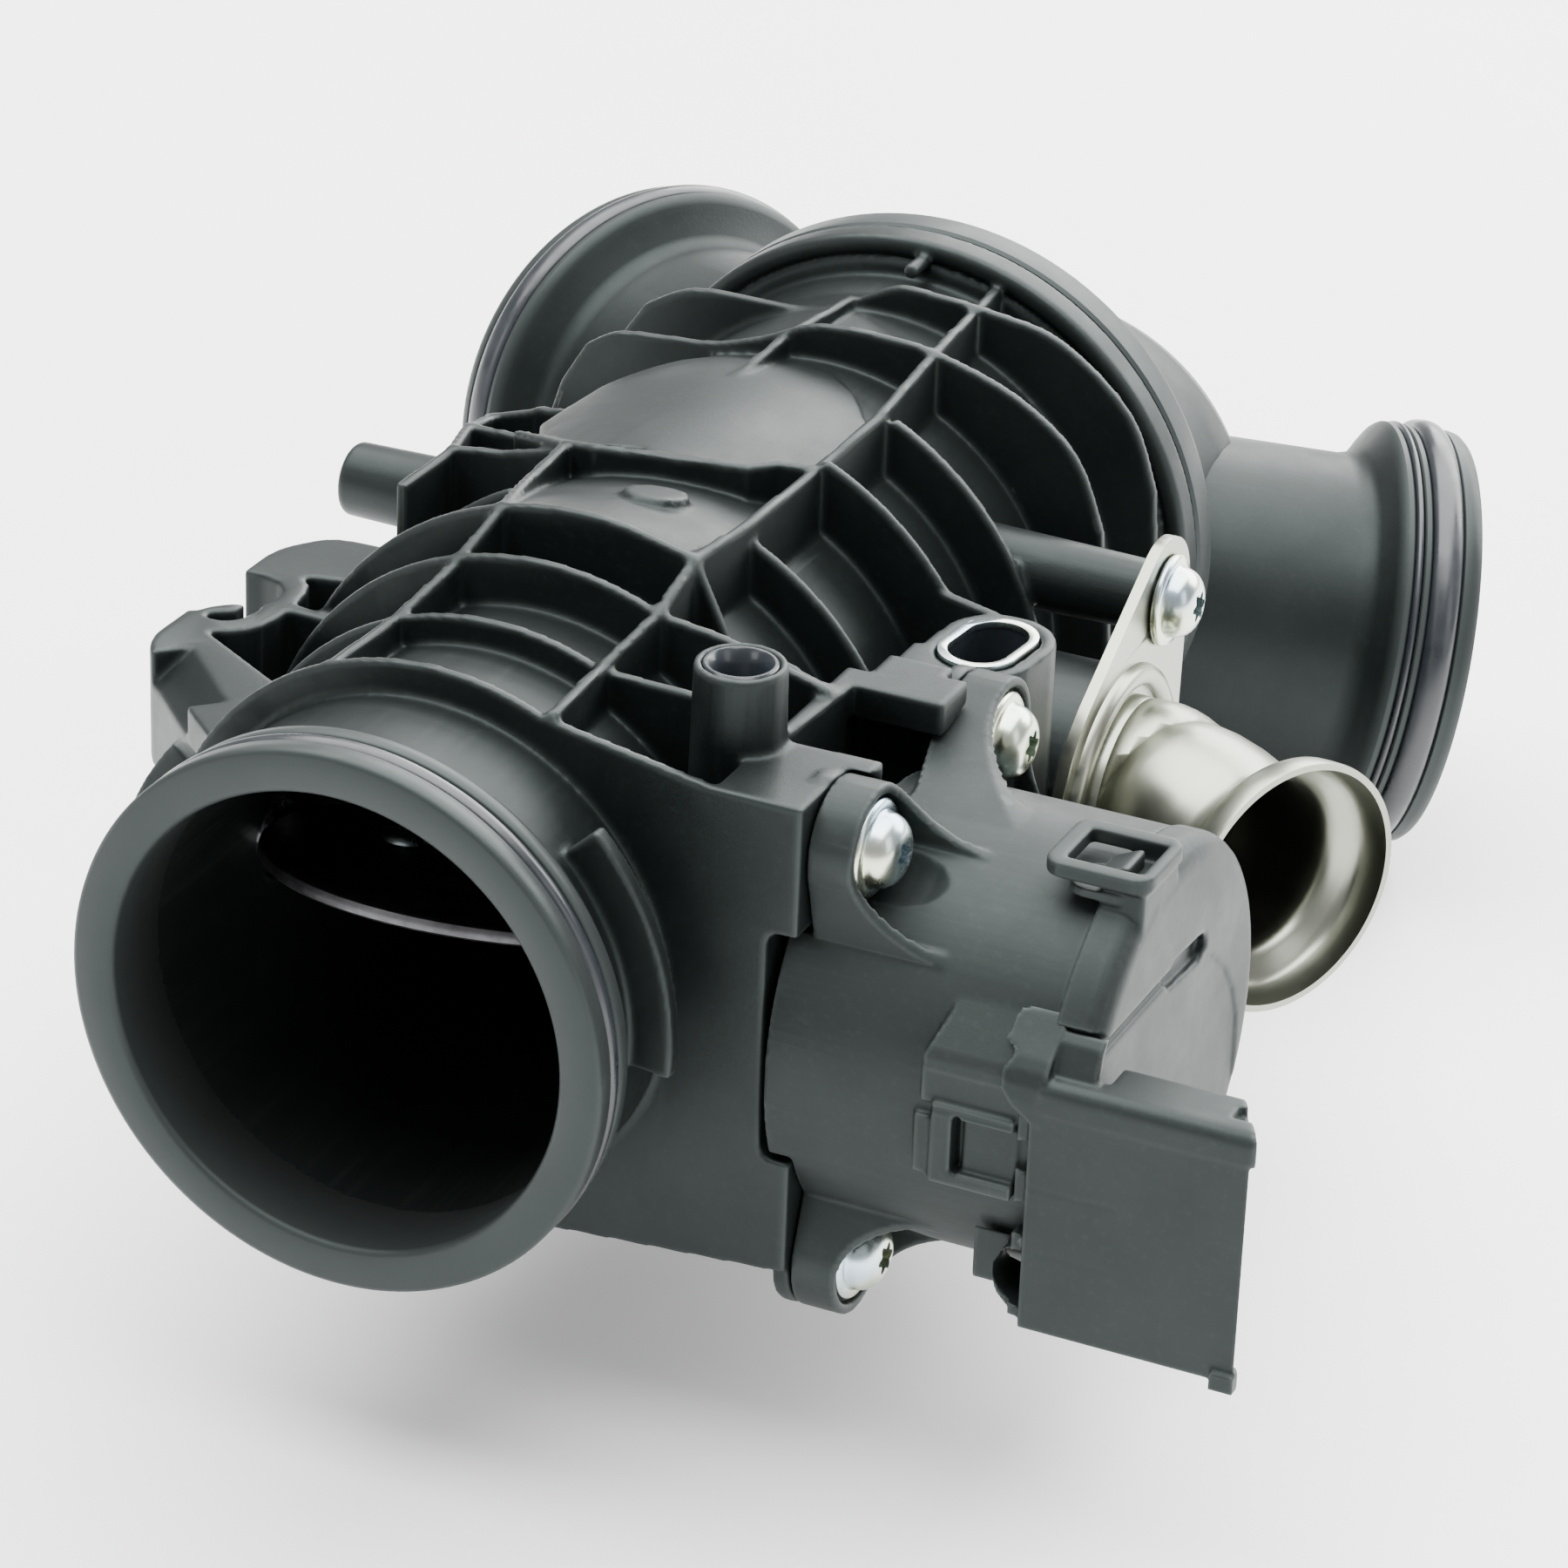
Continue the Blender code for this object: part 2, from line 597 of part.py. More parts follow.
def pipe_flange():
    circles = [(*PORT, 21.0), (*PIPE_SCREWS[0], 8.4), (*PIPE_SCREWS[1], 8.4)]
    plate = prism("plate", along_x(PLATE_X[0], (0, 0)), tangent_hull(circles, 24), PLATE_X[1] - PLATE_X[0])
    hole = cylinder("hole", along_x(PLATE_X[0] - 1, PORT), PIPE_R + 0.6, 5, 24)
    bolts = [cylinder("bolt", along_x(PLATE_X[0] - 1, yz), 3.0, 5, 12) for yz in PIPE_SCREWS]
    finish(cut(plate, hole, *bolts), "pipe_flange", "stainless")
    gasket = turned("pipe_gasket", along_x(PORT_X + 0.1, PORT),
                    [(16.6, 0.5), (16.6, 0), (14.0, 0), (14.0, 0.5)], 24)
    finish(gasket, "pipe_gasket", "seal_rubber")


def pipe_path():
    """Centre line of the pipe: straight out of the port, then bent forward."""
    knee = Vector((60, *PORT))
    points = [knee - AXIS_X * s for s in (12, 4, 1.5)]
    for k in (0.35, 0.7):
        points.append(knee + (AXIS_X * (1 - k) + PIPE_DIR * k) * (2 * k))
    points += [knee + PIPE_DIR * s for s in (5, 14, 19.5, 23.5, 26.8, 28.2)]
    return points


def elbow_pipe():
    outer = [PIPE_R, PIPE_R, 13.4, 14.0, 14.0, 13.6, 12.6, 12.8, 14.6, 17.2, 17.2]
    inner = [r - 1.3 for r in outer]
    path = pipe_path()
    body = sweep("pipe", path, outer, 4)
    inner_path = [path[0] - AXIS_X * 2, *path[1:-1], path[-1] + PIPE_DIR * 2]
    room = sweep("pipe_room", inner_path, inner, 4)
    finish(cut(body, room), "elbow_pipe", "stainless")


# ---------------------------------------------------------------- actuator

def actuator_case():
    """Round cup with four ears, a spigot behind the pad face and the motor cup."""
    case = cylinder("case", along_x(CASE_X[0], CASE_C), CASE_R, CASE_X[1] - CASE_X[0], 36)
    parts = []
    for i, yz in enumerate(EARS):
        parts.append(prism(f"ear_{i}", along_x(EAR_X[0], (0, 0)), ear_outline(yz), EAR_X[1] - EAR_X[0]))
    parts.append(cylinder("spigot", along_x(46.2, SHAFT), SPIGOT_R, 8, 28))
    parts.append(cylinder("motor_cup", along_x(37.0, MOTOR), MOTOR_CUP_R, 20, 24))
    parts.append(box("front_clip", (66.6, 21.5, -13.4), (79.6, 40, -1.8)))
    parts.append(box("hook", (75.8, 40.1, 17), (79.6, 46.8, 24.2)))
    case = join(case, *parts)
    cutters = [
        cylinder("cavity", along_x(64.5, CASE_C), CAVITY_R, 20, 36),
        cylinder("motor_room", along_x(38.3, MOTOR), MOTOR_R + GAP, 40, 24),
        cylinder("shaft_room", along_x(40, SHAFT), SHAFT_R + GAP, 40, 20),
        cylinder("axle_hole", along_x(58.7, IDLER), AXLE_R + 0.1, 10, 12),
    ]
    for i, yz in enumerate(EARS):
        cutters.append(cylinder(f"ear_hole_{i}", along_x(EAR_X[0] - 1, yz), 3.0, 9, 12))
        cutters.append(cylinder(f"ear_relief_{i}", along_x(EAR_X[1], yz), EAR_R - 0.6, 8, 20))
    finish(cut(case, *cutters), "actuator_case", "cover_plastic")


def cover_outline(margin=0.0):
    circles = [(*CASE_C, CASE_R + 0.4 + margin), (33, -18, 8 + margin), (33, -2, 8 + margin)]
    return tangent_hull(circles, 36)


def actuator_cover():
    """Lid with a snap loop over the case hook and a sunken groove on its face."""
    cover = prism("cover", along_x(COVER_X[0], (0, 0)), cover_outline(), COVER_X[1] - COVER_X[0])
    loop = box("loop", (73.5, 37.5, 22.5), (87.4, 49, 25.2))
    root = box("loop_root", (COVER_X[0], 37.5, 16), (87.4, 49, 25.2))
    room = cylinder("cover_room", along_x(COVER_X[0] - 1, CASE_C), CAVITY_R, 4.5, 36)
    cover = join(cover, root, loop)
    groove = prism("groove", along_x(COVER_X[1] - 1.2, (0, 0)),
                   [(73, 12), (24, 12), (24, 4), (30, 2), (66, -1)], 5)
    window = box("loop_window", (75.4, 39.7, 22.2), (84.6, 47.2, 30))
    finish(cut(cover, room, groove, window), "actuator_cover", "cover_plastic")


def connector():
    """Plug socket in front of the cover; its mouth is cut on a slant."""
    y0, y1 = 20.0, 32.0
    slant = 8.5
    body = prism("connector", upright(0, 0, -29), [(82, y0), (109, y0), (109 - slant, y1), (82, y1)], 32)
    roof = prism("roof", upright(0, 0, 1.4), [(83, y0 - 0.8), (110.5, y0 - 0.8), (110.5 - slant, y1 + 0.6),
                                              (83, y1 + 0.6)], 3.2)
    back = box("back", (76, 23, -29), (84, 31, -19))
    body = join(body, roof, back)
    socket = box("socket", (92, y0 + 2.2, -26.4), (112, y1 - 2, 0.4))
    behind = prism("behind", along_x(70, (0, 0)), cover_outline(GAP), 18.3)
    case_side = cylinder("case_side", along_x(60, CASE_C), CASE_R + 0.5, 30, 36)
    clip = box("clip_side", (60, 21.1, -17.4), (80.1, 45, 2.4))
    pins = []
    for i in range(TERMINALS):
        z = -24.1 + 4.6 * i
        pins.append(box(f"pin_room_{i}", (88.6, 25.3, z), (95, 26.9, z + 1.6)))
    finish(cut(body, socket, behind, case_side, clip, *pins), "connector_shell", "cover_plastic")
    for i in range(TERMINALS):
        z = -23.9 + 4.6 * i
        finish(box(f"terminal_{i + 1}", (89, 25.6, z), (98, 26.6, z + 1.2)), f"terminal_{i + 1}", "brass")


# ---------------------------------------------------------------- drive

def idler_axis():
    """Point one centre distance from the motor and another from the shaft."""
    r1 = MODULE * (PINION_TEETH + IDLER_TEETH[0]) / 2
    r2 = MODULE * (IDLER_TEETH[1] + SECTOR_TEETH) / 2
    m, s = Vector(MOTOR), Vector(SHAFT)
    d = (s - m).length
    u = (s - m) / d
    a = (r1 * r1 - r2 * r2 + d * d) / (2 * d)
    h = math.sqrt(r1 * r1 - a * a)
    p = m + u * a - Vector((u.y, -u.x)) * h
    return p.x, p.y


IDLER = idler_axis()


def tooth_points(teeth, phase, index, addendum=0.72, dedendum=1.2, width=0.40):
    """Outline points of one straight-sided tooth."""
    pitch_r = MODULE * teeth / 2
    step = 2 * math.pi / teeth
    centre = phase + index * step
    half = step * width / 2
    slope = math.tan(math.radians(20)) / pitch_r
    root = (pitch_r - dedendum, half + dedendum * slope * 0.55)
    tip = (pitch_r + addendum, half - addendum * slope)
    corners = ((root, -1), (tip, -1), (tip, 1), (root, 1))
    points = []
    for (radius, spread), side in corners:
        a = centre + side * spread
        points.append((radius * math.cos(a), radius * math.sin(a)))
    return points


def gear_outline(teeth, phase):
    out = []
    for i in range(teeth):
        out += tooth_points(teeth, phase, i)
    return out


def gear(name, x, height, centre, teeth, phase):
    moved = [(px + centre[0], py + centre[1]) for px, py in gear_outline(teeth, phase)]
    return prism(name, along_x(x, (0, 0)), moved, height)


def direction(a, b):
    return math.atan2(b[1] - a[1], b[0] - a[0])


def drive():
    """Motor, pinion, stepped idler and the sector gear, in mesh at rest."""
    motor = turned("drive_motor", along_x(38.7, MOTOR),
                   [(0, 26.2), (5, 26.2), (5, 25.2), (MOTOR_R, 25.2), (MOTOR_R, 0.5), (MOTOR_R - 0.5, 0), (0, 0)],
                   24, closed=False)
    bearing = cylinder("bearing", along_x(62.9, MOTOR), 1.9, 5, 12)
    finish(cut(motor, bearing), "drive_motor", "zinc_steel")

    pinion = gear("pinion", 73.4, 5.0, MOTOR, PINION_TEETH, direction(MOTOR, IDLER))
    stem = cylinder("stem", along_x(63.3, MOTOR), 1.5, 12, 12)
    finish(join(pinion, stem), "motor_pinion", "brass", (73.4, *MOTOR))

    big_phase = direction(IDLER, MOTOR) + math.pi / IDLER_TEETH[0]
    big = gear("big", 73.6, 3.6, IDLER, IDLER_TEETH[0], big_phase)
    small = gear("small", 67.2, 7.0, IDLER, IDLER_TEETH[1], direction(IDLER, SHAFT))
    hole = cylinder("idler_hole", along_x(60, IDLER), AXLE_R + 0.06, 30, 16)
    finish(cut(join(big, small), hole), "idler_gear", "white_plastic", (73.6, *IDLER))
    axle = cylinder("axle", along_x(59, IDLER), AXLE_R, 20.4, 16)
    finish(axle, "idler_axle", "machined_steel", (59, *IDLER))
    sector_gear()


def sector_gear():
    """Toothed sector with a hub that is fixed on the throttle shaft."""
    step = 360 / SECTOR_TEETH
    mesh_dir = math.degrees(direction(SHAFT, IDLER))
    first = math.ceil(SECTOR_SPAN[0] / step - 0.5)
    last = math.floor(SECTOR_SPAN[1] / step - 0.5)
    outline = []
    for i in range(first, last + 1):
        outline += tooth_points(SECTOR_TEETH, math.radians(mesh_dir + step / 2), i)
    start = mesh_dir + first * step
    end = mesh_dir + (last + 1) * step
    outline += arc((0, 0), HUB_R, end + 6, start + 354, 9)
    moved = [(px + SHAFT[0], py + SHAFT[1]) for px, py in outline]
    sector = prism("sector", along_x(67.4, (0, 0)), moved, 4.6)
    hub = cylinder("hub", along_x(67.4, SHAFT), HUB_R, 7.5, 20)
    hole = cylinder("hub_hole", along_x(60, SHAFT), SHAFT_R + 0.05, 30, 20)
    finish(cut(join(sector, hub), hole), "sector_gear", "white_plastic", (67.4, *SHAFT))


def rot_about_shaft(obj, angle):
    pivot = Matrix.Translation(Vector((0, *SHAFT)) * MM)
    turn = pivot @ Matrix.Rotation(angle, 4, "X") @ pivot.inverted()
    obj.data.transform(turn)
    return obj


def throttle():
    """Shaft, plate and its screws; the plate stands near its open stop."""
    y, z = SHAFT
    tap_x = (-13, 13)
    shaft = cylinder("shaft", along_x(-37.4, SHAFT), SHAFT_R, 111.4, 20)
    flat = box("flat", (-30.2, y - 5, z), (30.2, y + 5, z + 5))
    taps = [cylinder("tap", upright(x, y, z - 6), 1.75, 14, 10) for x in tap_x]
    finish(rot_about_shaft(cut(shaft, flat, *taps), REST_TILT), "throttle_shaft", "machined_steel", (0, y, z))

    plate = cylinder("plate", upright(0, y, z + GAP), PLATE_R, PLATE_T, 48)
    clear = [cylinder("clear", upright(x, y, z - 1), 2.0, 8, 12) for x in tap_x]
    finish(rot_about_shaft(cut(plate, *clear), REST_TILT), "throttle_plate", "aluminium", (0, y, z))

    profile = [(0, 1.6), (2.2, 1.6), (3.2, 0.6), (3.2, 0), (1.5, 0), (1.5, -6), (0, -6)]
    for i, x in enumerate(tap_x):
        name = f"plate_screw_{i + 1}"
        screw = turned(name, upright(x, y, z + GAP + PLATE_T + GAP), profile, 12, closed=False)
        finish(rot_about_shaft(screw, REST_TILT), name, "zinc_steel", (x, y, z))


def shaft_supports():
    """Bushes, lip seal and end plug in the housing's cross hole."""
    for name, x in (("shaft_bush_left", -37.6), ("shaft_bush_right", 32.0)):
        ring = turned(name, along_x(x, SHAFT), [(BUSH_R, 5.5), (BUSH_R, 0), (4.05, 0), (4.05, 5.5)], 20)
        finish(ring, name, "brass", (x, *SHAFT))
    seal = turned("shaft_seal", along_x(-31.8, SHAFT), [(BUSH_R, 1.2), (BUSH_R, 0), (4.1, 0), (4.1, 1.2)], 20)
    finish(seal, "shaft_seal", "seal_rubber", (-31.8, *SHAFT))
    plug = cylinder("shaft_plug", along_x(-42.4, SHAFT), BUSH_R, 4.4, 20)
    finish(plug, "shaft_plug", "aluminium", (-42.4, *SHAFT))


def return_spring():
    """Torsion spring round the shaft in its pocket behind the actuator."""
    turns, per_turn = 3, 12
    wire, radius, start, pitch = 0.6, 6.9, 40.6, 1.45
    points = []
    for i in range(per_turn * turns + 1):
        a = 2 * math.pi * i / per_turn
        x = start + pitch * i / per_turn
        points.append((x, SHAFT[0] + radius * math.cos(a), SHAFT[1] + radius * math.sin(a)))
    obj = sweep("return_spring", points, [wire] * len(points), 1)
    finish(obj, "return_spring", "machined_steel", (start, *SHAFT))


def sensor_board():
    """Board with the position sensor, opposite the shaft's end."""
    board = box("board", (82.1, 33, -8), (83.5, 52, 8))
    finish(board, "position_sensor", "board_green")


# ---------------------------------------------------------------- build

clear_scene()
PARTS = make_collection("throttle_body")
WORK = make_collection("work")
main_housing()
rear_distributor()
seals()
inserts()
screws()
pipe_flange()
elbow_pipe()
actuator_case()
actuator_cover()
connector()
drive()
throttle()
shaft_supports()
return_spring()
sensor_board()
bpy.data.collections.remove(WORK)
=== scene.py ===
"""Looks of the throttle body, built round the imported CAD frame.

Lengths are millimetres until MM turns them into metres.  The origin is the
centre of the inlet face, +Y runs down the bore, +Z is up, +X is the actuator.
"""
import math

import bmesh
import bpy
from mathutils import Matrix, Vector


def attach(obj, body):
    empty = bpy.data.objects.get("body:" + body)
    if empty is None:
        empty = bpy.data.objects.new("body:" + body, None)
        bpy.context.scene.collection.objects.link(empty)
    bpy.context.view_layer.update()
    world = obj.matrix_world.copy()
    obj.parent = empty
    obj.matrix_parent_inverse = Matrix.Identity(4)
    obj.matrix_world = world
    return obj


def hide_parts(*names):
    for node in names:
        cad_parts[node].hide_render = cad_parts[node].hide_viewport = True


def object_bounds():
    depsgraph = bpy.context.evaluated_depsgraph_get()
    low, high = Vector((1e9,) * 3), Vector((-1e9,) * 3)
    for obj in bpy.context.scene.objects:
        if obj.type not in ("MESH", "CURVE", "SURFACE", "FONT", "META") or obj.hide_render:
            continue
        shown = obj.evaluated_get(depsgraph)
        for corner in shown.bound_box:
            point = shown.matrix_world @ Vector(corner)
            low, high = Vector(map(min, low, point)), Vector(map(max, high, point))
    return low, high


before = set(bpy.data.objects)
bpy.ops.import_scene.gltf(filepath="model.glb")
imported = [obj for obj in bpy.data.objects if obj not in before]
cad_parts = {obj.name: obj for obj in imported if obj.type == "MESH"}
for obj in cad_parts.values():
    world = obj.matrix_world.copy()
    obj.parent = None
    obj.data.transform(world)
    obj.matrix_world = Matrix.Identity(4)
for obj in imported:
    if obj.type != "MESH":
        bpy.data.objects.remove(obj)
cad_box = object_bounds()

MM = 0.001
ROUND = 128                     # segments of the large round parts

# Camera
AZIMUTH = math.radians(24.05)
ELEVATION = math.radians(26.55)
ROLL = math.radians(2.2)
DISTANCE = 0.7232
LOOK_AT = Vector((0.0424, 0.0341, 0.0275))
LENS = 140.0

# Housing; pairs are (y, z) for what points along X and (x, y) for what stands upright
INLET_R = 35.6
SKIN_R = 32.6
BORE_R = 30.0
FLANGE_R = 43.0
RIB_T = 1.5                     # ribs and webs
BOSS = (34.5, 38.0)             # upright boss with the steel insert
SLOT = ((45.7, 85.0), (46.2, 90.0))
SLOT_TOP = 24.5
SLOT_BOSS_R = 7.4
SLOT_HOLE_R = 5.45
SLEEVE_R = 5.2

# Throttle
SHAFT = (42.0, 0.0)
REST_TILT = math.radians(-14.0)
PLATE_SCREW_X = (-13, 13)

# Actuator
PAD_X = 49.2                    # face that carries the case
CASE_C = (50.0, -6.0)
CASE_R = 27.8
CAVITY_R = 25.2
SPIGOT_R = 16.6
MOTOR = (61, -9)
EARS = ((33.5, 22.3), (72.2, 19.9), (33.5, -33.0), (73.0, -33.0))
EAR_FEET = ((37.0, 8.0, 7.4), (50.5, -5.5, 27.2), (38.5, -19.0, 8.0), (64.0, -19.0, 8.0))
EAR_R = 8.0
EAR_WALL = 1.3
EAR_X = (49.5, 54.0)
COVER_X = (82.0, 88.0)
SCREW_LIFT = 0.3                # between a screw head and what it holds

# Exhaust gas pipe
PORT = (111.0, -5.0)
PORT_X = 53.2
PLATE_X = (54.1, 55.6)
PIPE_SCREWS = ((124.5, 18.0), (97.5, -28.0))
PIPE_DIR = Vector((0.885, -0.465, 0.0)).normalized()
PIPE_R = 12.6
PIPE_WALL = 0.9
KNEE_X = 60
KNEE_R = 13.9

# Rear distributor; a groove is (depth below the lip, width)
LEFT_ORIGIN = Vector((0, 200, -17))
LEFT_DIR = Vector((-0.870, 0.482, -0.1045)).normalized()
LEFT_L = 88.0
LEFT_LIP_R = 36.0
LEFT_NECK_R = 28.5
LEFT_GROOVES = ((2.6, 4.4),)
RIGHT_ORIGIN = Vector((0, 200, -20.9))
RIGHT_DIR = Vector((0.864, 0.479, -0.156)).normalized()
RIGHT_L = 66.5
RIGHT_LIP_R = 31.0
RIGHT_NECK_R = 25.2
RIGHT_GROOVES = ((3.2, 4.6), (9.0, 1.4))
CHAMBER_Z = -17.0
CHAMBER_R = 34.0


# ---- shape helpers

def link_mesh(name, mesh):
    """New object in the scene for a mesh."""
    obj = bpy.data.objects.new(name, mesh)
    bpy.context.scene.collection.objects.link(obj)
    return obj


def aim(origin, direction):
    """Matrix whose local Z runs along a direction that isn't upright; local X lies level."""
    z = Vector(direction).normalized()
    x = Vector((0, 0, 1)).cross(z).normalized()
    rot = Matrix((x, z.cross(x), z)).transposed().to_4x4()
    return Matrix.Translation(Vector(origin) * MM) @ rot


def along_x(x, yz=(0, 0)):
    """Matrix with local Z along +X, local X along +Y and local Y along +Z."""
    rot = Matrix(((0, 0, 1), (1, 0, 0), (0, 1, 0))).to_4x4()
    return Matrix.Translation(Vector((x, yz[0], yz[1])) * MM) @ rot


def along_y(y, x=0.0, z=0.0):
    """Matrix with local Z along +Y, local X along +Z and local Y along +X."""
    rot = Matrix(((0, 1, 0), (0, 0, 1), (1, 0, 0))).to_4x4()
    return Matrix.Translation(Vector((x, y, z)) * MM) @ rot


def upright(x, y, z):
    """Matrix with local Z along +Z."""
    return Matrix.Translation(Vector((x, y, z)) * MM)


def mesh_from(name, bm, matrix=None):
    """Finish a bmesh as an object, moved by the matrix if there is one."""
    if matrix is not None:
        bm.transform(matrix)
    bmesh.ops.remove_doubles(bm, verts=bm.verts, dist=1e-7)
    bmesh.ops.recalc_face_normals(bm, faces=bm.faces)
    mesh = bpy.data.meshes.new(name)
    bm.to_mesh(mesh)
    bm.free()
    return link_mesh(name, mesh)


def box(name, low, high):
    """Block between two corners."""
    bm = bmesh.new()
    bmesh.ops.create_cube(bm, size=1.0)
    bmesh.ops.scale(bm, vec=[(h - l) * MM for l, h in zip(low, high)], verts=bm.verts)
    bmesh.ops.translate(bm, vec=[(h + l) * 0.5 * MM for l, h in zip(low, high)], verts=bm.verts)
    return mesh_from(name, bm)


def cylinder(name, matrix, radius, length, segments=64, top_radius=None):
    """Solid cylinder or cone that starts at the matrix origin along local Z."""
    bm = bmesh.new()
    top = radius if top_radius is None else top_radius
    bmesh.ops.create_cone(bm, cap_ends=True, segments=segments,
                          radius1=radius * MM, radius2=top * MM, depth=length * MM)
    bmesh.ops.translate(bm, vec=(0, 0, length * MM / 2), verts=bm.verts)
    return mesh_from(name, bm, matrix)


def turned(name, matrix, profile, steps=96):
    """Spin a profile of (radius, height) about local Z; radius 0 closes on the axis."""
    bm = bmesh.new()
    rings = []
    for radius, height in profile:
        if radius < 1e-6:
            rings.append([bm.verts.new((0, 0, height * MM))])
            continue
        ring = []
        for i in range(steps):
            a = 2 * math.pi * i / steps
            ring.append(bm.verts.new((radius * math.cos(a) * MM, radius * math.sin(a) * MM, height * MM)))
        rings.append(ring)
    pairs = list(zip(rings, rings[1:]))
    if len(rings[0]) > 1:
        pairs.append((rings[-1], rings[0]))
    for first, second in pairs:
        for i in range(steps):
            j = (i + 1) % steps
            corners = [first[i % len(first)], first[j % len(first)], second[j % len(second)],
                       second[i % len(second)]]
            unique = list(dict.fromkeys(corners))
            if len(unique) > 2:
                bm.faces.new(unique)
    return mesh_from(name, bm, matrix)


def prism(name, matrix, outline, height):
    """Solid over a flat outline of (x, y) points, from the matrix origin along local Z."""
    bm = bmesh.new()
    low = [bm.verts.new((x * MM, y * MM, 0)) for x, y in outline]
    high = [bm.verts.new((x * MM, y * MM, height * MM)) for x, y in outline]
    bm.faces.new(low[::-1])
    bm.faces.new(high)
    count = len(outline)
    for i in range(count):
        j = (i + 1) % count
        bm.faces.new((low[i], low[j], high[j], high[i]))
    bmesh.ops.triangulate(bm, faces=[f for f in bm.faces if len(f.verts) > 4])
    return mesh_from(name, bm, matrix)


def ribbon(name, nodes, z_low):
    """Upright web through (x, y, top height) nodes."""
    pieces = []
    for (x0, y0, z0), (x1, y1, z1) in zip(nodes, nodes[1:]):
        run = Vector((x1 - x0, y1 - y0, 0)).normalized()
        side = Vector((-run.y, run.x, 0)) * RIB_T / 2
        reach = run * RIB_T * 0.35
        bm = bmesh.new()
        for end, z_top in ((Vector((x0, y0, 0)) - reach, z0), (Vector((x1, y1, 0)) + reach, z1)):
            for sign in (-1, 1):
                for z in (z_low, z_top):
                    corner = end + side * sign
                    bm.verts.new((corner.x * MM, corner.y * MM, z * MM))
        bmesh.ops.convex_hull(bm, input=bm.verts)
        pieces.append(mesh_from(name, bm))
    return join(*pieces)


def bake(obj):
    """Replace an object by its evaluated mesh in world space."""
    bpy.context.view_layer.update()
    graph = bpy.context.evaluated_depsgraph_get()
    mesh = bpy.data.meshes.new_from_object(obj.evaluated_get(graph))
    mesh.transform(obj.matrix_world)
    name = obj.name
    bpy.data.objects.remove(obj, do_unlink=True)
    return link_mesh(name, mesh)


def combine(base, others, operation):
    """Boolean of a base with each of the others in turn."""
    for other in others:
        mod = base.modifiers.new(operation.title(), "BOOLEAN")
        mod.operation = operation
        mod.solver = "MANIFOLD"
        mod.object = other
        base = bake(base)
        bpy.data.objects.remove(other, do_unlink=True)
    return base


def join(base, *others):
    return combine(base, others, "UNION")


def cut(base, *others):
    return combine(base, others, "DIFFERENCE")


def merge(name, objects):
    """One object holding the meshes of several closed ones."""
    bm = bmesh.new()
    for obj in objects:
        bm.from_mesh(obj.data)
        bpy.data.objects.remove(obj, do_unlink=True)
    mesh = bpy.data.meshes.new(name)
    bm.to_mesh(mesh)
    bm.free()
    return link_mesh(name, mesh)


def soften(obj, voxel, passes, keep):
    """Round every edge and corner a little, as a moulded part has them."""
    remesh = obj.modifiers.new("Remesh", "REMESH")
    remesh.mode = "VOXEL"
    remesh.voxel_size = voxel * MM
    smooth = obj.modifiers.new("Smooth", "SMOOTH")
    smooth.factor = 0.5
    smooth.iterations = passes
    thin = obj.modifiers.new("Thin", "DECIMATE")
    thin.ratio = keep
    return bake(obj)


def arc(centre, radius, start, end, count):
    """Points on an arc, angles in degrees."""
    out = []
    for i in range(count + 1):
        a = math.radians(start + (end - start) * i / count)
        out.append((centre[0] + radius * math.cos(a), centre[1] + radius * math.sin(a)))
    return out


def tangent_hull(circles, count=72):
    """Convex outline round several circles of (x, y, radius)."""
    points = []
    for x, y, r in circles:
        points += arc((x, y), r, 0, 360 - 360 / count, count - 1)
    points = sorted(set((round(x, 5), round(y, 5)) for x, y in points))

    def turn(a, b, c):
        return (b[0] - a[0]) * (c[1] - a[1]) - (b[1] - a[1]) * (c[0] - a[0])

    def half(seq):
        out = []
        for p in seq:
            while len(out) > 1 and turn(out[-2], out[-1], p) <= 1e-9:
                out.pop()
            out.append(p)
        return out[:-1]

    return half(points) + half(points[::-1])


def across(outline):
    """Outline of (x, z) points, turned for a prism that runs along_y."""
    return [(z, x) for x, z in outline]


def smooth_line(points, per_span=4):
    """Catmull-Rom curve through 2D points."""
    pts = [points[0], *points, points[-1]]
    out = []
    for p0, p1, p2, p3 in zip(pts, pts[1:], pts[2:], pts[3:]):
        for k in range(per_span):
            t = k / per_span
            out.append(tuple(
                0.5 * (2 * b + (c - a) * t + (2 * a - 5 * b + 4 * c - d) * t * t
                       + (3 * b - a - 3 * c + d) * t ** 3)
                for a, b, c, d in zip(p0, p1, p2, p3)))
    out.append(points[-1])
    return out


def paint(obj, material):
    obj.data.materials.clear()
    obj.data.materials.append(material)


def show(obj, name, material, slot, *nodes, body="housing", angle=38.0):
    """Name a finished piece, give it its material and put it on its body."""
    obj.name = name
    obj.data.name = name
    paint(obj, material)
    obj.data.shade_smooth()
    if angle:
        obj.data.set_sharp_from_angle(angle=math.radians(angle))
    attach(obj, body)
    if nodes:
        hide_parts(*nodes)
    return obj


# ---- materials

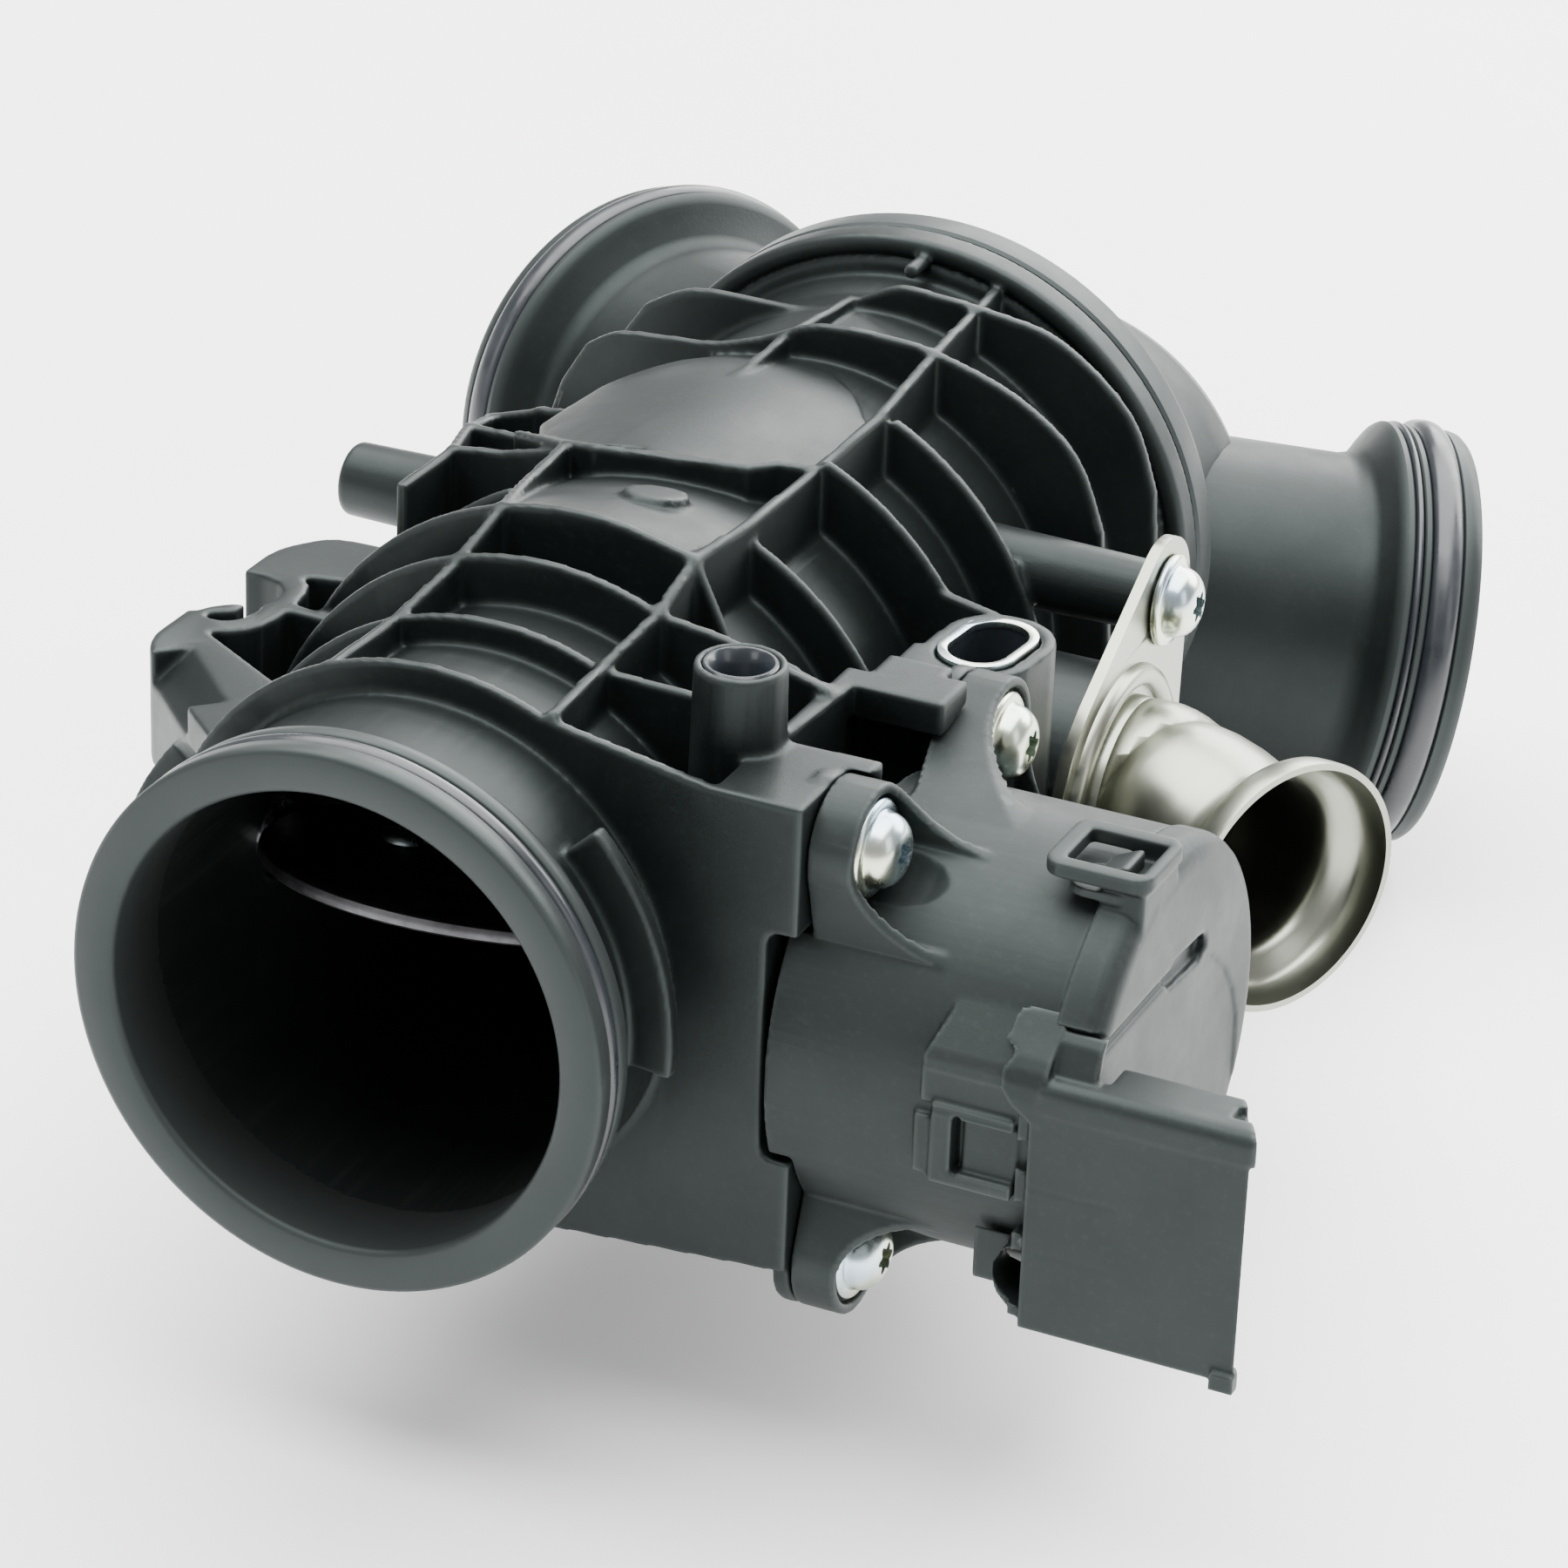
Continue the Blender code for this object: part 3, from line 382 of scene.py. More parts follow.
class Nodes:
    """Small helper that adds and links shader nodes."""

    def __init__(self, name):
        self.mat = bpy.data.materials.new(name)
        self.mat.use_nodes = True
        self.tree = self.mat.node_tree
        self.shader = self.tree.nodes["Principled BSDF"]
        self.coords = self.add("ShaderNodeTexCoord").outputs["Object"]

    def add(self, kind, inputs=(), **settings):
        node = self.tree.nodes.new(kind)
        for key, value in settings.items():
            setattr(node, key, value)
        for key, value in dict(inputs).items():
            node.inputs[key].default_value = value
        return node

    def link(self, source, target):
        self.tree.links.new(source, target)

    def noise(self, scale, detail=3.0, rough=0.5, stretch=None):
        node = self.add("ShaderNodeTexNoise", {"Scale": scale, "Detail": detail, "Roughness": rough})
        source = self.coords
        if stretch:
            mapping = self.add("ShaderNodeMapping", {"Scale": stretch})
            self.link(source, mapping.inputs["Vector"])
            source = mapping.outputs["Vector"]
        self.link(source, node.inputs["Vector"])
        return node.outputs["Fac"]

    def ramp(self, source, stops):
        node = self.add("ShaderNodeValToRGB")
        elements = node.color_ramp.elements
        while len(elements) < len(stops):
            elements.new(0.5)
        for element, (place, colour) in zip(elements, stops):
            element.position = place
            element.color = (*colour, 1)
        self.link(source, node.inputs["Fac"])
        return node.outputs["Color"]

    def spread(self, source, low, high, start=0.3, end=0.7):
        node = self.add("ShaderNodeMapRange", {"From Min": start, "From Max": end, "To Min": low,
                                               "To Max": high})
        self.link(source, node.inputs["Value"])
        return node.outputs["Result"]

    def mix(self, factor, colour, constant):
        """Blend a linked colour towards a constant one."""
        node = self.add("ShaderNodeMix", data_type="RGBA")
        self.link(factor, node.inputs[0])
        self.link(colour, node.inputs[6])
        node.inputs[7].default_value = (*constant, 1)
        return node.outputs[2]

    def edges(self, low, high):
        """Painted highlight: brighter on convex edges, from the surface's pointiness."""
        geometry = self.add("ShaderNodeNewGeometry")
        return self.spread(geometry.outputs["Pointiness"], 0.0, 1.0, low, high)

    def bump(self, layers):
        """Chain of bumps from (height, strength, distance in metres)."""
        normal = None
        for height, strength, distance in layers:
            node = self.add("ShaderNodeBump", {"Strength": strength, "Distance": distance})
            self.link(height, node.inputs["Height"])
            if normal is not None:
                self.link(normal, node.inputs["Normal"])
            normal = node.outputs["Normal"]
        self.link(normal, self.shader.inputs["Normal"])

    def base(self, colour):
        self.link(colour, self.shader.inputs["Base Color"])

    def rough(self, value):
        self.link(value, self.shader.inputs["Roughness"])


def moulded_plastic(name, dark, light, rough_low, rough_high, grain):
    """Glass-filled nylon: flow marks, fine specks, a painted highlight on convex edges and a grain."""
    n = Nodes(name)
    flow = n.noise(28, 4, 0.55, (1.0, 0.35, 1.0))
    speck = n.noise(900, 2, 0.6)
    colour = n.ramp(flow, [(0.30, dark), (0.75, light)])
    colour = n.mix(n.spread(speck, 0.0, 0.35, 0.55, 0.8), colour, tuple(min(1, c * 1.9) for c in light))
    # painted highlight: convex edges lighter, standing in for light caught on the rounded edges
    painted_edge_highlight = n.edges(0.505, 0.56)
    colour = n.mix(painted_edge_highlight, colour, tuple(min(1, c * 2.2 + 0.01) for c in light))
    n.base(colour)
    smear = n.noise(60, 5, 0.65)
    n.rough(n.spread(smear, rough_low, rough_high))
    n.shader.inputs["Specular IOR Level"].default_value = 0.26
    n.shader.inputs["Specular Tint"].default_value = (0.84, 1.0, 0.97, 1)
    n.bump([(n.noise(2600, 2, 0.5), grain, 0.00005), (n.noise(140, 3, 0.5), 0.10, 0.0003)])
    return n.mat


def surface(name, tint, stops, gloss, rough, fine, bump, metallic=0.0, stretch=None):
    """Mottled colour, uneven gloss and a fine bump, each from noise of (scale, detail, roughness)."""
    n = Nodes(name)
    n.base(n.ramp(n.noise(*tint, stretch=stretch), stops))
    n.rough(n.spread(n.noise(*gloss, stretch=stretch), *rough))
    n.bump([(n.noise(*fine, stretch=stretch), *bump)])
    n.shader.inputs["Metallic"].default_value = metallic
    return n.mat


def seal_rubber():
    mat = surface("seal_rubber", (70, 3), [(0.3, (0.010, 0.012, 0.015)), (0.8, (0.022, 0.026, 0.031))],
                  (220, 3), (0.24, 0.42), (700, 2), (0.15, 0.00008))
    mat.node_tree.nodes["Principled BSDF"].inputs["Specular IOR Level"].default_value = 0.6
    return mat


def zinc():
    """Bright plating with a faint blue and yellow tint."""
    tint = [(0.28, (0.44, 0.56, 0.66)), (0.45, (0.62, 0.70, 0.68)), (0.62, (0.68, 0.70, 0.54)),
            (0.78, (0.50, 0.64, 0.58))]
    return surface("zinc_plate", (130, 1, 0.3), tint, (300, 2), (0.24, 0.30), (500, 2), (0.06, 0.00003), 1.0)


def stainless():
    """Drawn tube with a straw tint."""
    tint = [(0.25, (0.25, 0.25, 0.21)), (0.55, (0.30, 0.31, 0.26)), (0.8, (0.35, 0.37, 0.31))]
    return surface("stainless_steel", (45, 4, 0.6), tint, (90, 3), (0.27, 0.34), (60, 2), (0.08, 0.0004), 1.0)


def metal(name, dark, light, rough_low, rough_high, stretch=None):
    return surface(name, (160, 4, 0.6), [(0.3, dark), (0.7, light)], (600, 4, 0.6), (rough_low, rough_high),
                   (1800, 3), (0.15, 0.00005), 1.0, stretch)


def plain_plastic(name, dark, light, rough_low, rough_high):
    return surface(name, (90, 3), [(0.3, dark), (0.7, light)], (300, 3), (rough_low, rough_high),
                   (1500, 2), (0.12, 0.00005))


def floor_material():
    """Pale floor that glows a little, as a backdrop lit from behind does."""
    n = Nodes("studio_floor")
    n.base(n.ramp(n.noise(3, 2), [(0.3, (0.93, 0.93, 0.932)), (0.7, (0.95, 0.95, 0.952))]))
    n.rough(n.spread(n.noise(40, 3), 0.55, 0.7))
    n.shader.inputs["Emission Color"].default_value = (1, 1, 1, 1)
    n.shader.inputs["Emission Strength"].default_value = 0.13
    return n.mat


BODY = moulded_plastic("body_plastic", (0.0034, 0.0044, 0.0045), (0.0066, 0.0084, 0.0082),
                       0.38, 0.52, 0.30)
# darker copy of the body plastic for the bore's faces: painted shade inside the bore
BORE_PAINTED_SHADE = moulded_plastic("bore_plastic_painted_shade", (0.0012, 0.0015, 0.0016), (0.0026, 0.0032, 0.0032),
                       0.55, 0.70, 0.10)
ACTUATOR = moulded_plastic("actuator_plastic", (0.0072, 0.0088, 0.0086), (0.0120, 0.0146, 0.0142),
                           0.42, 0.55, 0.22)
RUBBER = seal_rubber()
ZINC = zinc()
STEEL = stainless()
TURNED_STEEL = metal("turned_steel", (0.42, 0.42, 0.43), (0.66, 0.66, 0.66), 0.20, 0.36, (6, 1, 1))
BRASS = metal("brass", (0.62, 0.42, 0.16), (0.82, 0.62, 0.28), 0.22, 0.38)
DARK_PLATE = metal("dark_plate", (0.05, 0.05, 0.055), (0.12, 0.12, 0.125), 0.34, 0.52)
# near-black stand-in for the steel deep inside the boss holes: painted shade
STEEL_PAINTED_SHADE = plain_plastic("steel_painted_shade", (0.010, 0.013, 0.016), (0.024, 0.030, 0.036), 0.18, 0.30)
ACETAL = plain_plastic("acetal", (0.66, 0.65, 0.60), (0.78, 0.77, 0.72), 0.35, 0.50)
BOARD = plain_plastic("circuit_board", (0.02, 0.12, 0.05), (0.04, 0.20, 0.09), 0.35, 0.50)


# ---- main housing

def housing_ribs():
    """Cross ribs from front to back: round outside, each with its own shoulder line on top."""
    def ring(radius, start, end, count=60):
        return arc((0, 0), radius, start, end, count)

    rear_h = smooth_line([(41.2, 19.0), (36.7, 29.2), (27.6, 36), (16, 39.8), (8.4, 40.7), (-1.8, 40.3),
                          (-9.4, 37), (-17, 34.6), (-25, 33.9), (-31.5, 33.1), (-36, 30.5)])
    rear_i = smooth_line([(41.6, 18), (37.2, 28.6), (26.6, 37.1), (16.3, 39.4), (7.2, 40.3), (2.1, 40.3),
                          (-4.3, 37.1), (-12, 34.4), (-25.3, 34.1), (-30.6, 33), (-35.9, 30)])
    rear_side = [(-39.6, 24.5), (-42.0, 17.0)] + ring(43.3, -192, 12)
    low_top = [(12, 30), (-20, 20)]
    ribs = (
        ("rib_a", 25, ring(37.0, 66, 300) + [(37.4, -20), (37.4, 30.0)]),
        ("rib_b", 41, ring(36.4, 66, 350) + [(29, 32.6), (26, 33.1)]),
        ("rib_c", 54, ring(39.2, 66, 350) + [(39.3, 30.9), (24.5, 34.7)]),
        ("rib_d", 64.5, ring(41.8, 86, 345) + [(16.2, 38.4), (15.4, 39.2), (6.4, 41.3)]),
        ("rib_e", 79, ring(39.6, 116, 360) + ring(39.6, 0, 66, 18) + [(10, 34), (-12, 34)]),
        ("rib_f", 100, ring(42.6, -150, 66, 50) + low_top),
        ("rib_g", 119, ring(42.0, -150, 64, 50) + low_top),
        ("rib_h", 138, rear_h + rear_side),
        ("rib_i", 156, rear_i + rear_side),
    )
    return [prism(name, along_y(y - RIB_T / 2), across(outline), RIB_T) for name, y, outline in ribs]


def housing_webs():
    """Lengthwise webs and the crest line between the two plateaus."""
    webs = (
        ("web_right", 20, [(16, 25.4, 34.6), (15, 41, 34.4), (16, 54, 36.4), (15.4, 64.5, 39.0),
                           (16.2, 79, 38.4), (16.2, 100, 38.0), (16.6, 118, 38.6), (15.4, 138, 39.8),
                           (13.6, 156, 39.2), (12.5, 167, 38.6)]),
        ("web_left", 20, [(-14, 25.4, 34.2), (-13, 41, 34.5), (-11.6, 54, 37.2), (-11.2, 64.5, 40.4),
                          (-15, 80, 37.6), (-16, 92, 37.4)]),
        ("crest", 24, [(-26, 98, 34.4), (-16, 92, 37.4), (-11, 90.6, 38.6), (0, 92, 38.7),
                       (8.6, 94.2, 38.6), (11.6, 97.5, 38.4), (16.2, 98.6, 38.2)]),
        ("web_side", 18, [(-33, 79, 32.8), (-32.6, 92, 33.2), (-37, 105, 30.6), (-36.6, 112, 29.4)]),
        ("web_rear", 28, [(-7.5, 114, 36.6), (-6.6, 128, 37.4), (-6, 138, 38.2), (-4.6, 156, 37.4)]),
        ("small_a", 18, [(-32.6, 92, 33.2), (-24, 92.5, 34.2), (-16, 92, 36.6)]),
        ("small_b", 18, [(-37, 105, 30.6), (-26.5, 103, 31.6)]),
        ("small_c", 18, [(-38, 112, 28.9), (-30, 112, 31.8), (-20, 110, 33.6), (-11, 109, 35.6)]),
    )
    return [ribbon(name, nodes, z_low) for name, z_low, nodes in webs]


def plateaus():
    """Raised surfaces between the webs on top of the barrel."""
    front = [(-12, 65), (15.6, 65), (16, 84), (16, 98), (9, 95), (0, 92.5), (-15, 91.5), (-14.5, 78)]
    rear = [(-16, 92.5), (0, 93), (8.5, 95), (12, 98.5), (16, 99.5), (16, 112), (14.5, 120), (8, 129),
            (0, 136), (-10, 140), (-20, 134), (-25, 120), (-26, 104), (-22, 96)]

    def front_top(x, y):
        return 41.2 - (y - 65) * 0.225 - x * x * 0.0115

    def rear_top(x, y):
        back = max(0.0, y - 118)
        return 38.5 - (y - 92) * 0.035 - back * back * 0.006 - (x + 2) ** 2 * 0.0085

    return [grid_prism("plateau_front", front, front_top), grid_prism("plateau_rear", rear, rear_top)]


def grid_prism(name, outline, top, z_low=10):
    """Prism whose upper face is cut finely and bent to the height top(x, y)."""
    bm = bmesh.new()
    bmesh.ops.create_grid(bm, x_segments=40, y_segments=40, size=0.5)
    xs = [p[0] for p in outline]
    ys = [p[1] for p in outline]
    low = (min(xs) - 1, min(ys) - 1)
    span = (max(xs) + 1 - low[0], max(ys) + 1 - low[1])
    for v in bm.verts:
        x = low[0] + (v.co.x + 0.5) * span[0]
        y = low[1] + (v.co.y + 0.5) * span[1]
        v.co = (x * MM, y * MM, top(x, y) * MM)
    extruded = bmesh.ops.extrude_face_region(bm, geom=bm.faces[:])
    for item in extruded["geom"]:
        if isinstance(item, bmesh.types.BMVert):
            item.co.z = z_low * MM
    sheet = mesh_from(name, bm)
    fence = prism("fence", upright(0, 0, z_low - 1), outline, 60)
    return combine(sheet, [fence], "INTERSECT")


def pad_block():
    """Block on the +X side that carries the actuator, with its pocket and window."""
    outline = [(37.4, 30), (PAD_X, 30), (PAD_X, -33), (16, -35.6), (13, -31), (30, -14), (37, 4)]
    front = 25 - RIB_T / 2
    block = prism("pad_block", along_y(front), across(outline), 84 - front)
    pocket = prism("pad_pocket", upright(0, 0, 11),
                   [(39.2, 40.6), (PAD_X + 5, 40.9), (PAD_X + 5, 58.2), (40.4, 58.2)], 30)
    undercut = box("undercut", (39.6, 57, 11), (PAD_X + 5, 62, 25.6))
    corners = [(x, z, 1.6) for x in (46.9, 60) for z in (11.2, -16.2)]
    window = prism("pad_window", along_y(15), across(tangent_hull(corners)), 25)
    low_rear = box("low_rear", (36, 68.6, SLOT_TOP), (60, 90, 40))
    low_side = box("low_side", (36, 62.9, SLOT_TOP), (40.7, 70, 40))
    front_shelf = box("front_shelf", (PAD_X - 1, 34.5, 26.5), (52.4, 40.8, 30))
    rear_shelf = box("rear_shelf", (PAD_X - 1, 58.2, 25.6), (52.4, 66, 30))
    return join(cut(block, pocket, undercut, window, low_rear, low_side), front_shelf, rear_shelf)


def slot_outline(radius):
    """Outline round the slot of the boss behind the actuator, seen from above."""
    return tangent_hull([(*end, radius) for end in SLOT])


def left_lug():
    """Flat lug with an open slot, its ring wall and two pockets."""
    rim = smooth_line([(-31, 25.5), (-38.5, 32.4), (-46.2, 40), (-50.2, 44), (-51.8, 48), (-51.9, 53),
                       (-51.4, 70), (-51.2, 77), (-49.4, 81.2), (-46, 84.8), (-40, 85.6)])
    lug = prism("left_lug", upright(0, 0, 4), rim + [(-24, 86), (-24, 26)], 16)
    front_pocket = prism("front_pocket", upright(0, 0, 7),
                         [(-46.4, 51.9), (-32.5, 43.6), (-28, 41), (-28, 61.4), (-40.4, 62.2), (-40.5, 60),
                          (-41.1, 56.8), (-42.2, 54.8), (-43.7, 53.4)], 15)
    rear_pocket = prism("rear_pocket", upright(0, 0, 7),
                        [(-43.9, 72.3), (-42.0, 70.6), (-41.0, 68.0), (-40.5, 64.4), (-28, 63.4), (-28, 76),
                         (-36, 74.2)], 15)
    slot = prism("slot", upright(0, 0, 0),
                 [(-46.1, 61.3), (-46.2, 58.9), (-48.8, 57.0), (-48.9, 56.0), (-48.3, 55.4), (-46.4, 55.7),
                  (-44.7, 57.1), (-44.0, 60.0), (-44.2, 62.4), (-43.5, 64.5), (-44.0, 67.3), (-45.8, 69.2),
                  (-48.6, 70.1), (-60, 69.9), (-60, 56.6), (-50.9, 56.6), (-50.0, 58.5), (-48.8, 59.9),
                  (-47.4, 60.9)], 30)
    shoulder = box("shoulder", (-12, -8, -10), (2.5, 8, 10))
    shoulder.data.transform(upright(-42.5, 38.5, 20) @ Matrix.Rotation(math.radians(45), 4, "Z")
                            @ Matrix.Rotation(math.radians(50), 4, "Y"))
    return cut(lug, front_pocket, rear_pocket, slot, shoulder)


def side_features():
    """Bosses and lugs round the barrel."""
    pieces = [
        turned("boss_upright", upright(*BOSS, 18),
               [(0, 22.3), (5.3, 22.3), (5.7, 21.9), (6.0, 3), (6.0, 0), (0, 0)], 64),
        cylinder("boss_shaft", along_x(-43, SHAFT), 9.0, 18),
        turned("boss_left", along_x(-65.3, (125, 9)), [(0, 38), (5.9, 38), (5.2, 0.6), (4.7, 0), (0, 0)], 64),
        cylinder("port", along_x(25, PORT), 17.0, PORT_X - 25),
    ]
    for i, yz in enumerate(PIPE_SCREWS):
        pieces.append(cylinder(f"boss_pipe_{i}", along_x(25, yz), 5.2, PORT_X - 25, 48, top_radius=4.7))
    pieces.append(prism("slot_boss", upright(0, 0, 2), slot_outline(SLOT_BOSS_R), SLOT_TOP - 2))
    pieces.append(ribbon("slot_web", [(34.6, 99.6, 24.4), (42.6, 96.8, SLOT_TOP)], 2))
    pieces.append(ribbon("pocket_web", [(30, 58.6, 31), (39.4, 55.2, 30)], 8))
    pieces.append(left_lug())
    for i, (start, end) in enumerate(((-6, 44), (140, 186))):
        sector = arc((0, 0), 38.2, start, end, 24) + arc((0, 0), 31.5, end, start, 24)
        pieces.append(prism(f"neck_lug_{i}", along_y(13.8), across(sector), 2.4))
    for i, yz in enumerate(EARS):
        pieces.append(cylinder(f"pad_ear_{i}", along_x(47, yz), EAR_R, PAD_X - 47))
        pieces.append(cylinder(f"ear_post_{i}", along_x(44, yz), 4.2, PAD_X - 44.5))
    pieces.append(cylinder("disc", aim((2.3, 79.6, 32), (0, 0.225, 1)), 4.2, 6.7))
    pieces.append(cylinder("ejector_dot", aim((1.6, 161, 40.3), (0, 1, 0)), 1.1, 5.0, 32))
    return pieces


def housing_rooms():
    """Everything that is cut out of the housing."""
    bore = turned("bore", along_y(0), [(0, 172), (33.5, 172), (33, 150), (31, 100), (BORE_R, 84),
                                       (BORE_R, -1), (0, -1)], ROUND)
    rooms = [
        bore,
        cylinder("boss_hole", upright(*BOSS, 25), 4.7, 20),
        cylinder("shaft_hole", along_x(-45, SHAFT), 6.2, 90),
        cylinder("port_hole", along_x(20, PORT), PIPE_R + 0.8, 50),
        prism("slot_hole", upright(0, 0, 8), slot_outline(SLOT_HOLE_R), 30),
        cylinder("case_room", along_x(PAD_X, CASE_C), CASE_R + 0.5, 12, ROUND),
        cylinder("spigot_room", along_x(45.8, SHAFT), SPIGOT_R + 0.4, 10),
        cylinder("motor_pocket", along_x(36.5, MOTOR), 13.0, 20),
        cylinder("spring_pocket", along_x(39.4, SHAFT), 8.8, 15),
    ]
    for i, yz in enumerate(EARS):
        rooms.append(prism(f"ear_room_{i}", along_x(PAD_X), ear_outline(i, 0.4), 12))
        rooms.append(cylinder(f"ear_hole_{i}", along_x(44.9, yz), 2.7, 20, 32))
    for i, yz in enumerate(PIPE_SCREWS):
        rooms.append(cylinder(f"pipe_hole_{i}", along_x(44, yz), 2.7, 20, 32))
    return rooms


def ear_outline(i, margin=0.0):
    """Outline of the ear round a screw together with its foot on the case."""
    y, z, radius = EAR_FEET[i]
    return tangent_hull([(*EARS[i], EAR_R + margin), (y, z, radius + margin)])


def neck():
    """Inlet neck with its lip and seal groove, kept crisp."""
    profile = [(34.9, 0.0), (35.4, 0.2), (INLET_R, 0.7), (INLET_R, 3.0), (35.4, 3.2), (33.2, 3.3),
               (33.2, 6.1), (34.9, 6.2), (35.2, 6.5), (35.2, 8.3), (34.9, 8.7), (33.6, 9.2), (32.9, 10.2),
               (32.6, 12), (31.6, 12), (BORE_R, 11), (BORE_R, 0.8), (30.3, 0.25), (30.8, 0.0)]
    return turned("neck", along_y(0), profile, 192)


def main_housing():
    """Barrel with its ribs, bosses and holes, and the crisp neck; the bore's faces get a darker copy of the
    plastic as painted shade.
    """
    profile = [(0, 171), (FLANGE_R - 0.5, 171), (FLANGE_R, 170.5), (FLANGE_R, 166.6), (FLANGE_R - 0.6, 166),
               (40.6, 166), (40.4, 166.8), (39.6, 166.8), (39.4, 166), (37.4, 166), (36.2, 161),
               (36.0, 150), (33.6, 100), (SKIN_R, 60), (SKIN_R, 10), (0, 10)]
    barrel = turned("barrel", along_y(0), profile, ROUND)
    body = join(barrel, *housing_ribs(), *housing_webs(), *plateaus())
    body = join(body, pad_block(), *side_features())
    body = cut(body, *housing_rooms())
    body = soften(body, voxel=0.42, passes=6, keep=0.12)
    shell = merge("main_housing", [body, neck()])
    show(shell, "housing_shell", BODY, "body_plastic", "main_housing", angle=0)
    # faces inside the bore take the darker copy: painted shade
    shell.data.materials.append(BORE_PAINTED_SHADE)
    for face in shell.data.polygons:
        x, y, z = face.center / MM
        if math.hypot(x, z) < BORE_R + 0.9 and y > 0.9:
            face.material_index = 1


# ---- rear distributor

def lip_profile(radius, length, grooves, neck_r):
    """Outer line of an outlet stub: rounded lip, grooves as (depth below it, width), collar and neck."""
    collar_r = radius - 0.2
    outer = [(0, length), (radius - 2.2, length), (radius - 1.0, length - 0.3),
             (radius - 0.4, length - 1.0), (collar_r, length - 1.9)]
    for depth, width in grooves:
        top = length - depth
        end = top - width
        outer += [(collar_r, top + 0.25), (radius - 0.5, top), (radius - 1.9, top - 0.1),
                  (radius - 1.9, end + 0.1), (radius - 0.5, end), (collar_r, end - 0.3)]
    outer += [(collar_r, end - 1.0), (radius - 0.6, end - 1.6), (radius - 1.6, end - 2.3),
              (neck_r + 1.6, end - 3.9), (neck_r + 0.5, end - 5.0), (neck_r, end - 7.0), (neck_r, 8), (0, 8)]
    return outer


def rear_distributor():
    """Flange, chamber and the two outlet stubs."""
    y0, y1 = 171.3, 177.0
    rim = [(0, y1), (FLANGE_R - 1.2, y1), (FLANGE_R - 0.3, y1 - 0.4), (FLANGE_R, y1 - 1.2),
           (FLANGE_R, y0 + 0.5), (FLANGE_R - 0.4, y0), (0, y0)]
    flange = turned("flange", along_y(0), rim, ROUND)
    chamber = [(0, 228), (22, 228), (27, 227), (31, 224), (33.4, 219), (CHAMBER_R, 213),
               (CHAMBER_R, y0 + 1.2), (0, y0 + 1.2)]
    shell = turned("chamber", along_y(0, z=CHAMBER_Z), chamber)
    left_aim = aim(LEFT_ORIGIN, LEFT_DIR)
    right_aim = aim(RIGHT_ORIGIN, RIGHT_DIR)
    left = turned("left", left_aim, lip_profile(LEFT_LIP_R, LEFT_L, LEFT_GROOVES, LEFT_NECK_R), ROUND)
    right = turned("right", right_aim, lip_profile(RIGHT_LIP_R, RIGHT_L, RIGHT_GROOVES, RIGHT_NECK_R), ROUND)
    body = join(flange, shell, left, right)
    passage = cylinder("passage", along_y(y0 - 1), 33.4, 3.6, ROUND)
    room = turned("room", along_y(0, z=CHAMBER_Z),
                  [(0, 224.5), (22, 224.5), (27, 220), (31, 212), (31, 173), (0, 173)])
    left_in = [(0, LEFT_L + 1), (34.0, LEFT_L + 1), (33.0, LEFT_L - 0.6), (32.7, LEFT_L - 1.4),
               (31.0, LEFT_L - 6), (27.4, LEFT_L - 13), (26.0, LEFT_L - 18), (25.4, 12), (0, 12)]
    right_in = [(0, RIGHT_L + 1), (29.0, RIGHT_L + 1), (28.0, RIGHT_L - 0.6), (27.7, RIGHT_L - 1.4),
                (25, RIGHT_L - 8), (22.8, RIGHT_L - 14), (22.4, 12), (0, 12)]
    body = cut(body, passage, room, turned("left_in", left_aim, left_in, ROUND),
               turned("right_in", right_aim, right_in, ROUND))
    show(body, "distributor_shell", BODY, "body_plastic", "rear_distributor", angle=32)


def seal(name, node, matrix, inner, outer, low, high):
    """Rubber ring with a rounded crest."""
    mid = (low + high) / 2
    half = (high - low) / 2
    crest = []
    for i in range(13):
        a = math.radians(90 - 15 * i)
        crest.append((outer - (outer - inner) * 0.55 * (1 - math.cos(a)), mid + half * math.sin(a)))
    ring = turned(name, matrix, crest + [(inner, low), (inner, high)], 160)
    show(ring, name, RUBBER, "seal_rubber", node)


def seals():
    """One ring in the inlet neck, one on the left outlet and two on the right one."""
    seal("neck_ring", "inlet_seal", along_y(0), 33.4, 35.6, 3.4, 6.0)
    left = aim(LEFT_ORIGIN, LEFT_DIR)
    seal("left_ring", "left_outlet_seal", left, LEFT_LIP_R - 1.7, LEFT_LIP_R + 0.5,
         LEFT_L - 6.9, LEFT_L - 2.7)
    right = aim(RIGHT_ORIGIN, RIGHT_DIR)
    seal("right_ring_outer", "right_outlet_seal_outer", right, RIGHT_LIP_R - 1.7, RIGHT_LIP_R + 0.9,
         RIGHT_L - 7.7, RIGHT_L - 3.3)
    seal("right_ring_inner", "right_outlet_seal_inner", right, RIGHT_LIP_R - 1.7, RIGHT_LIP_R + 0.05,
         RIGHT_L - 10.3, RIGHT_L - 9.1)


# ---- inserts and screws

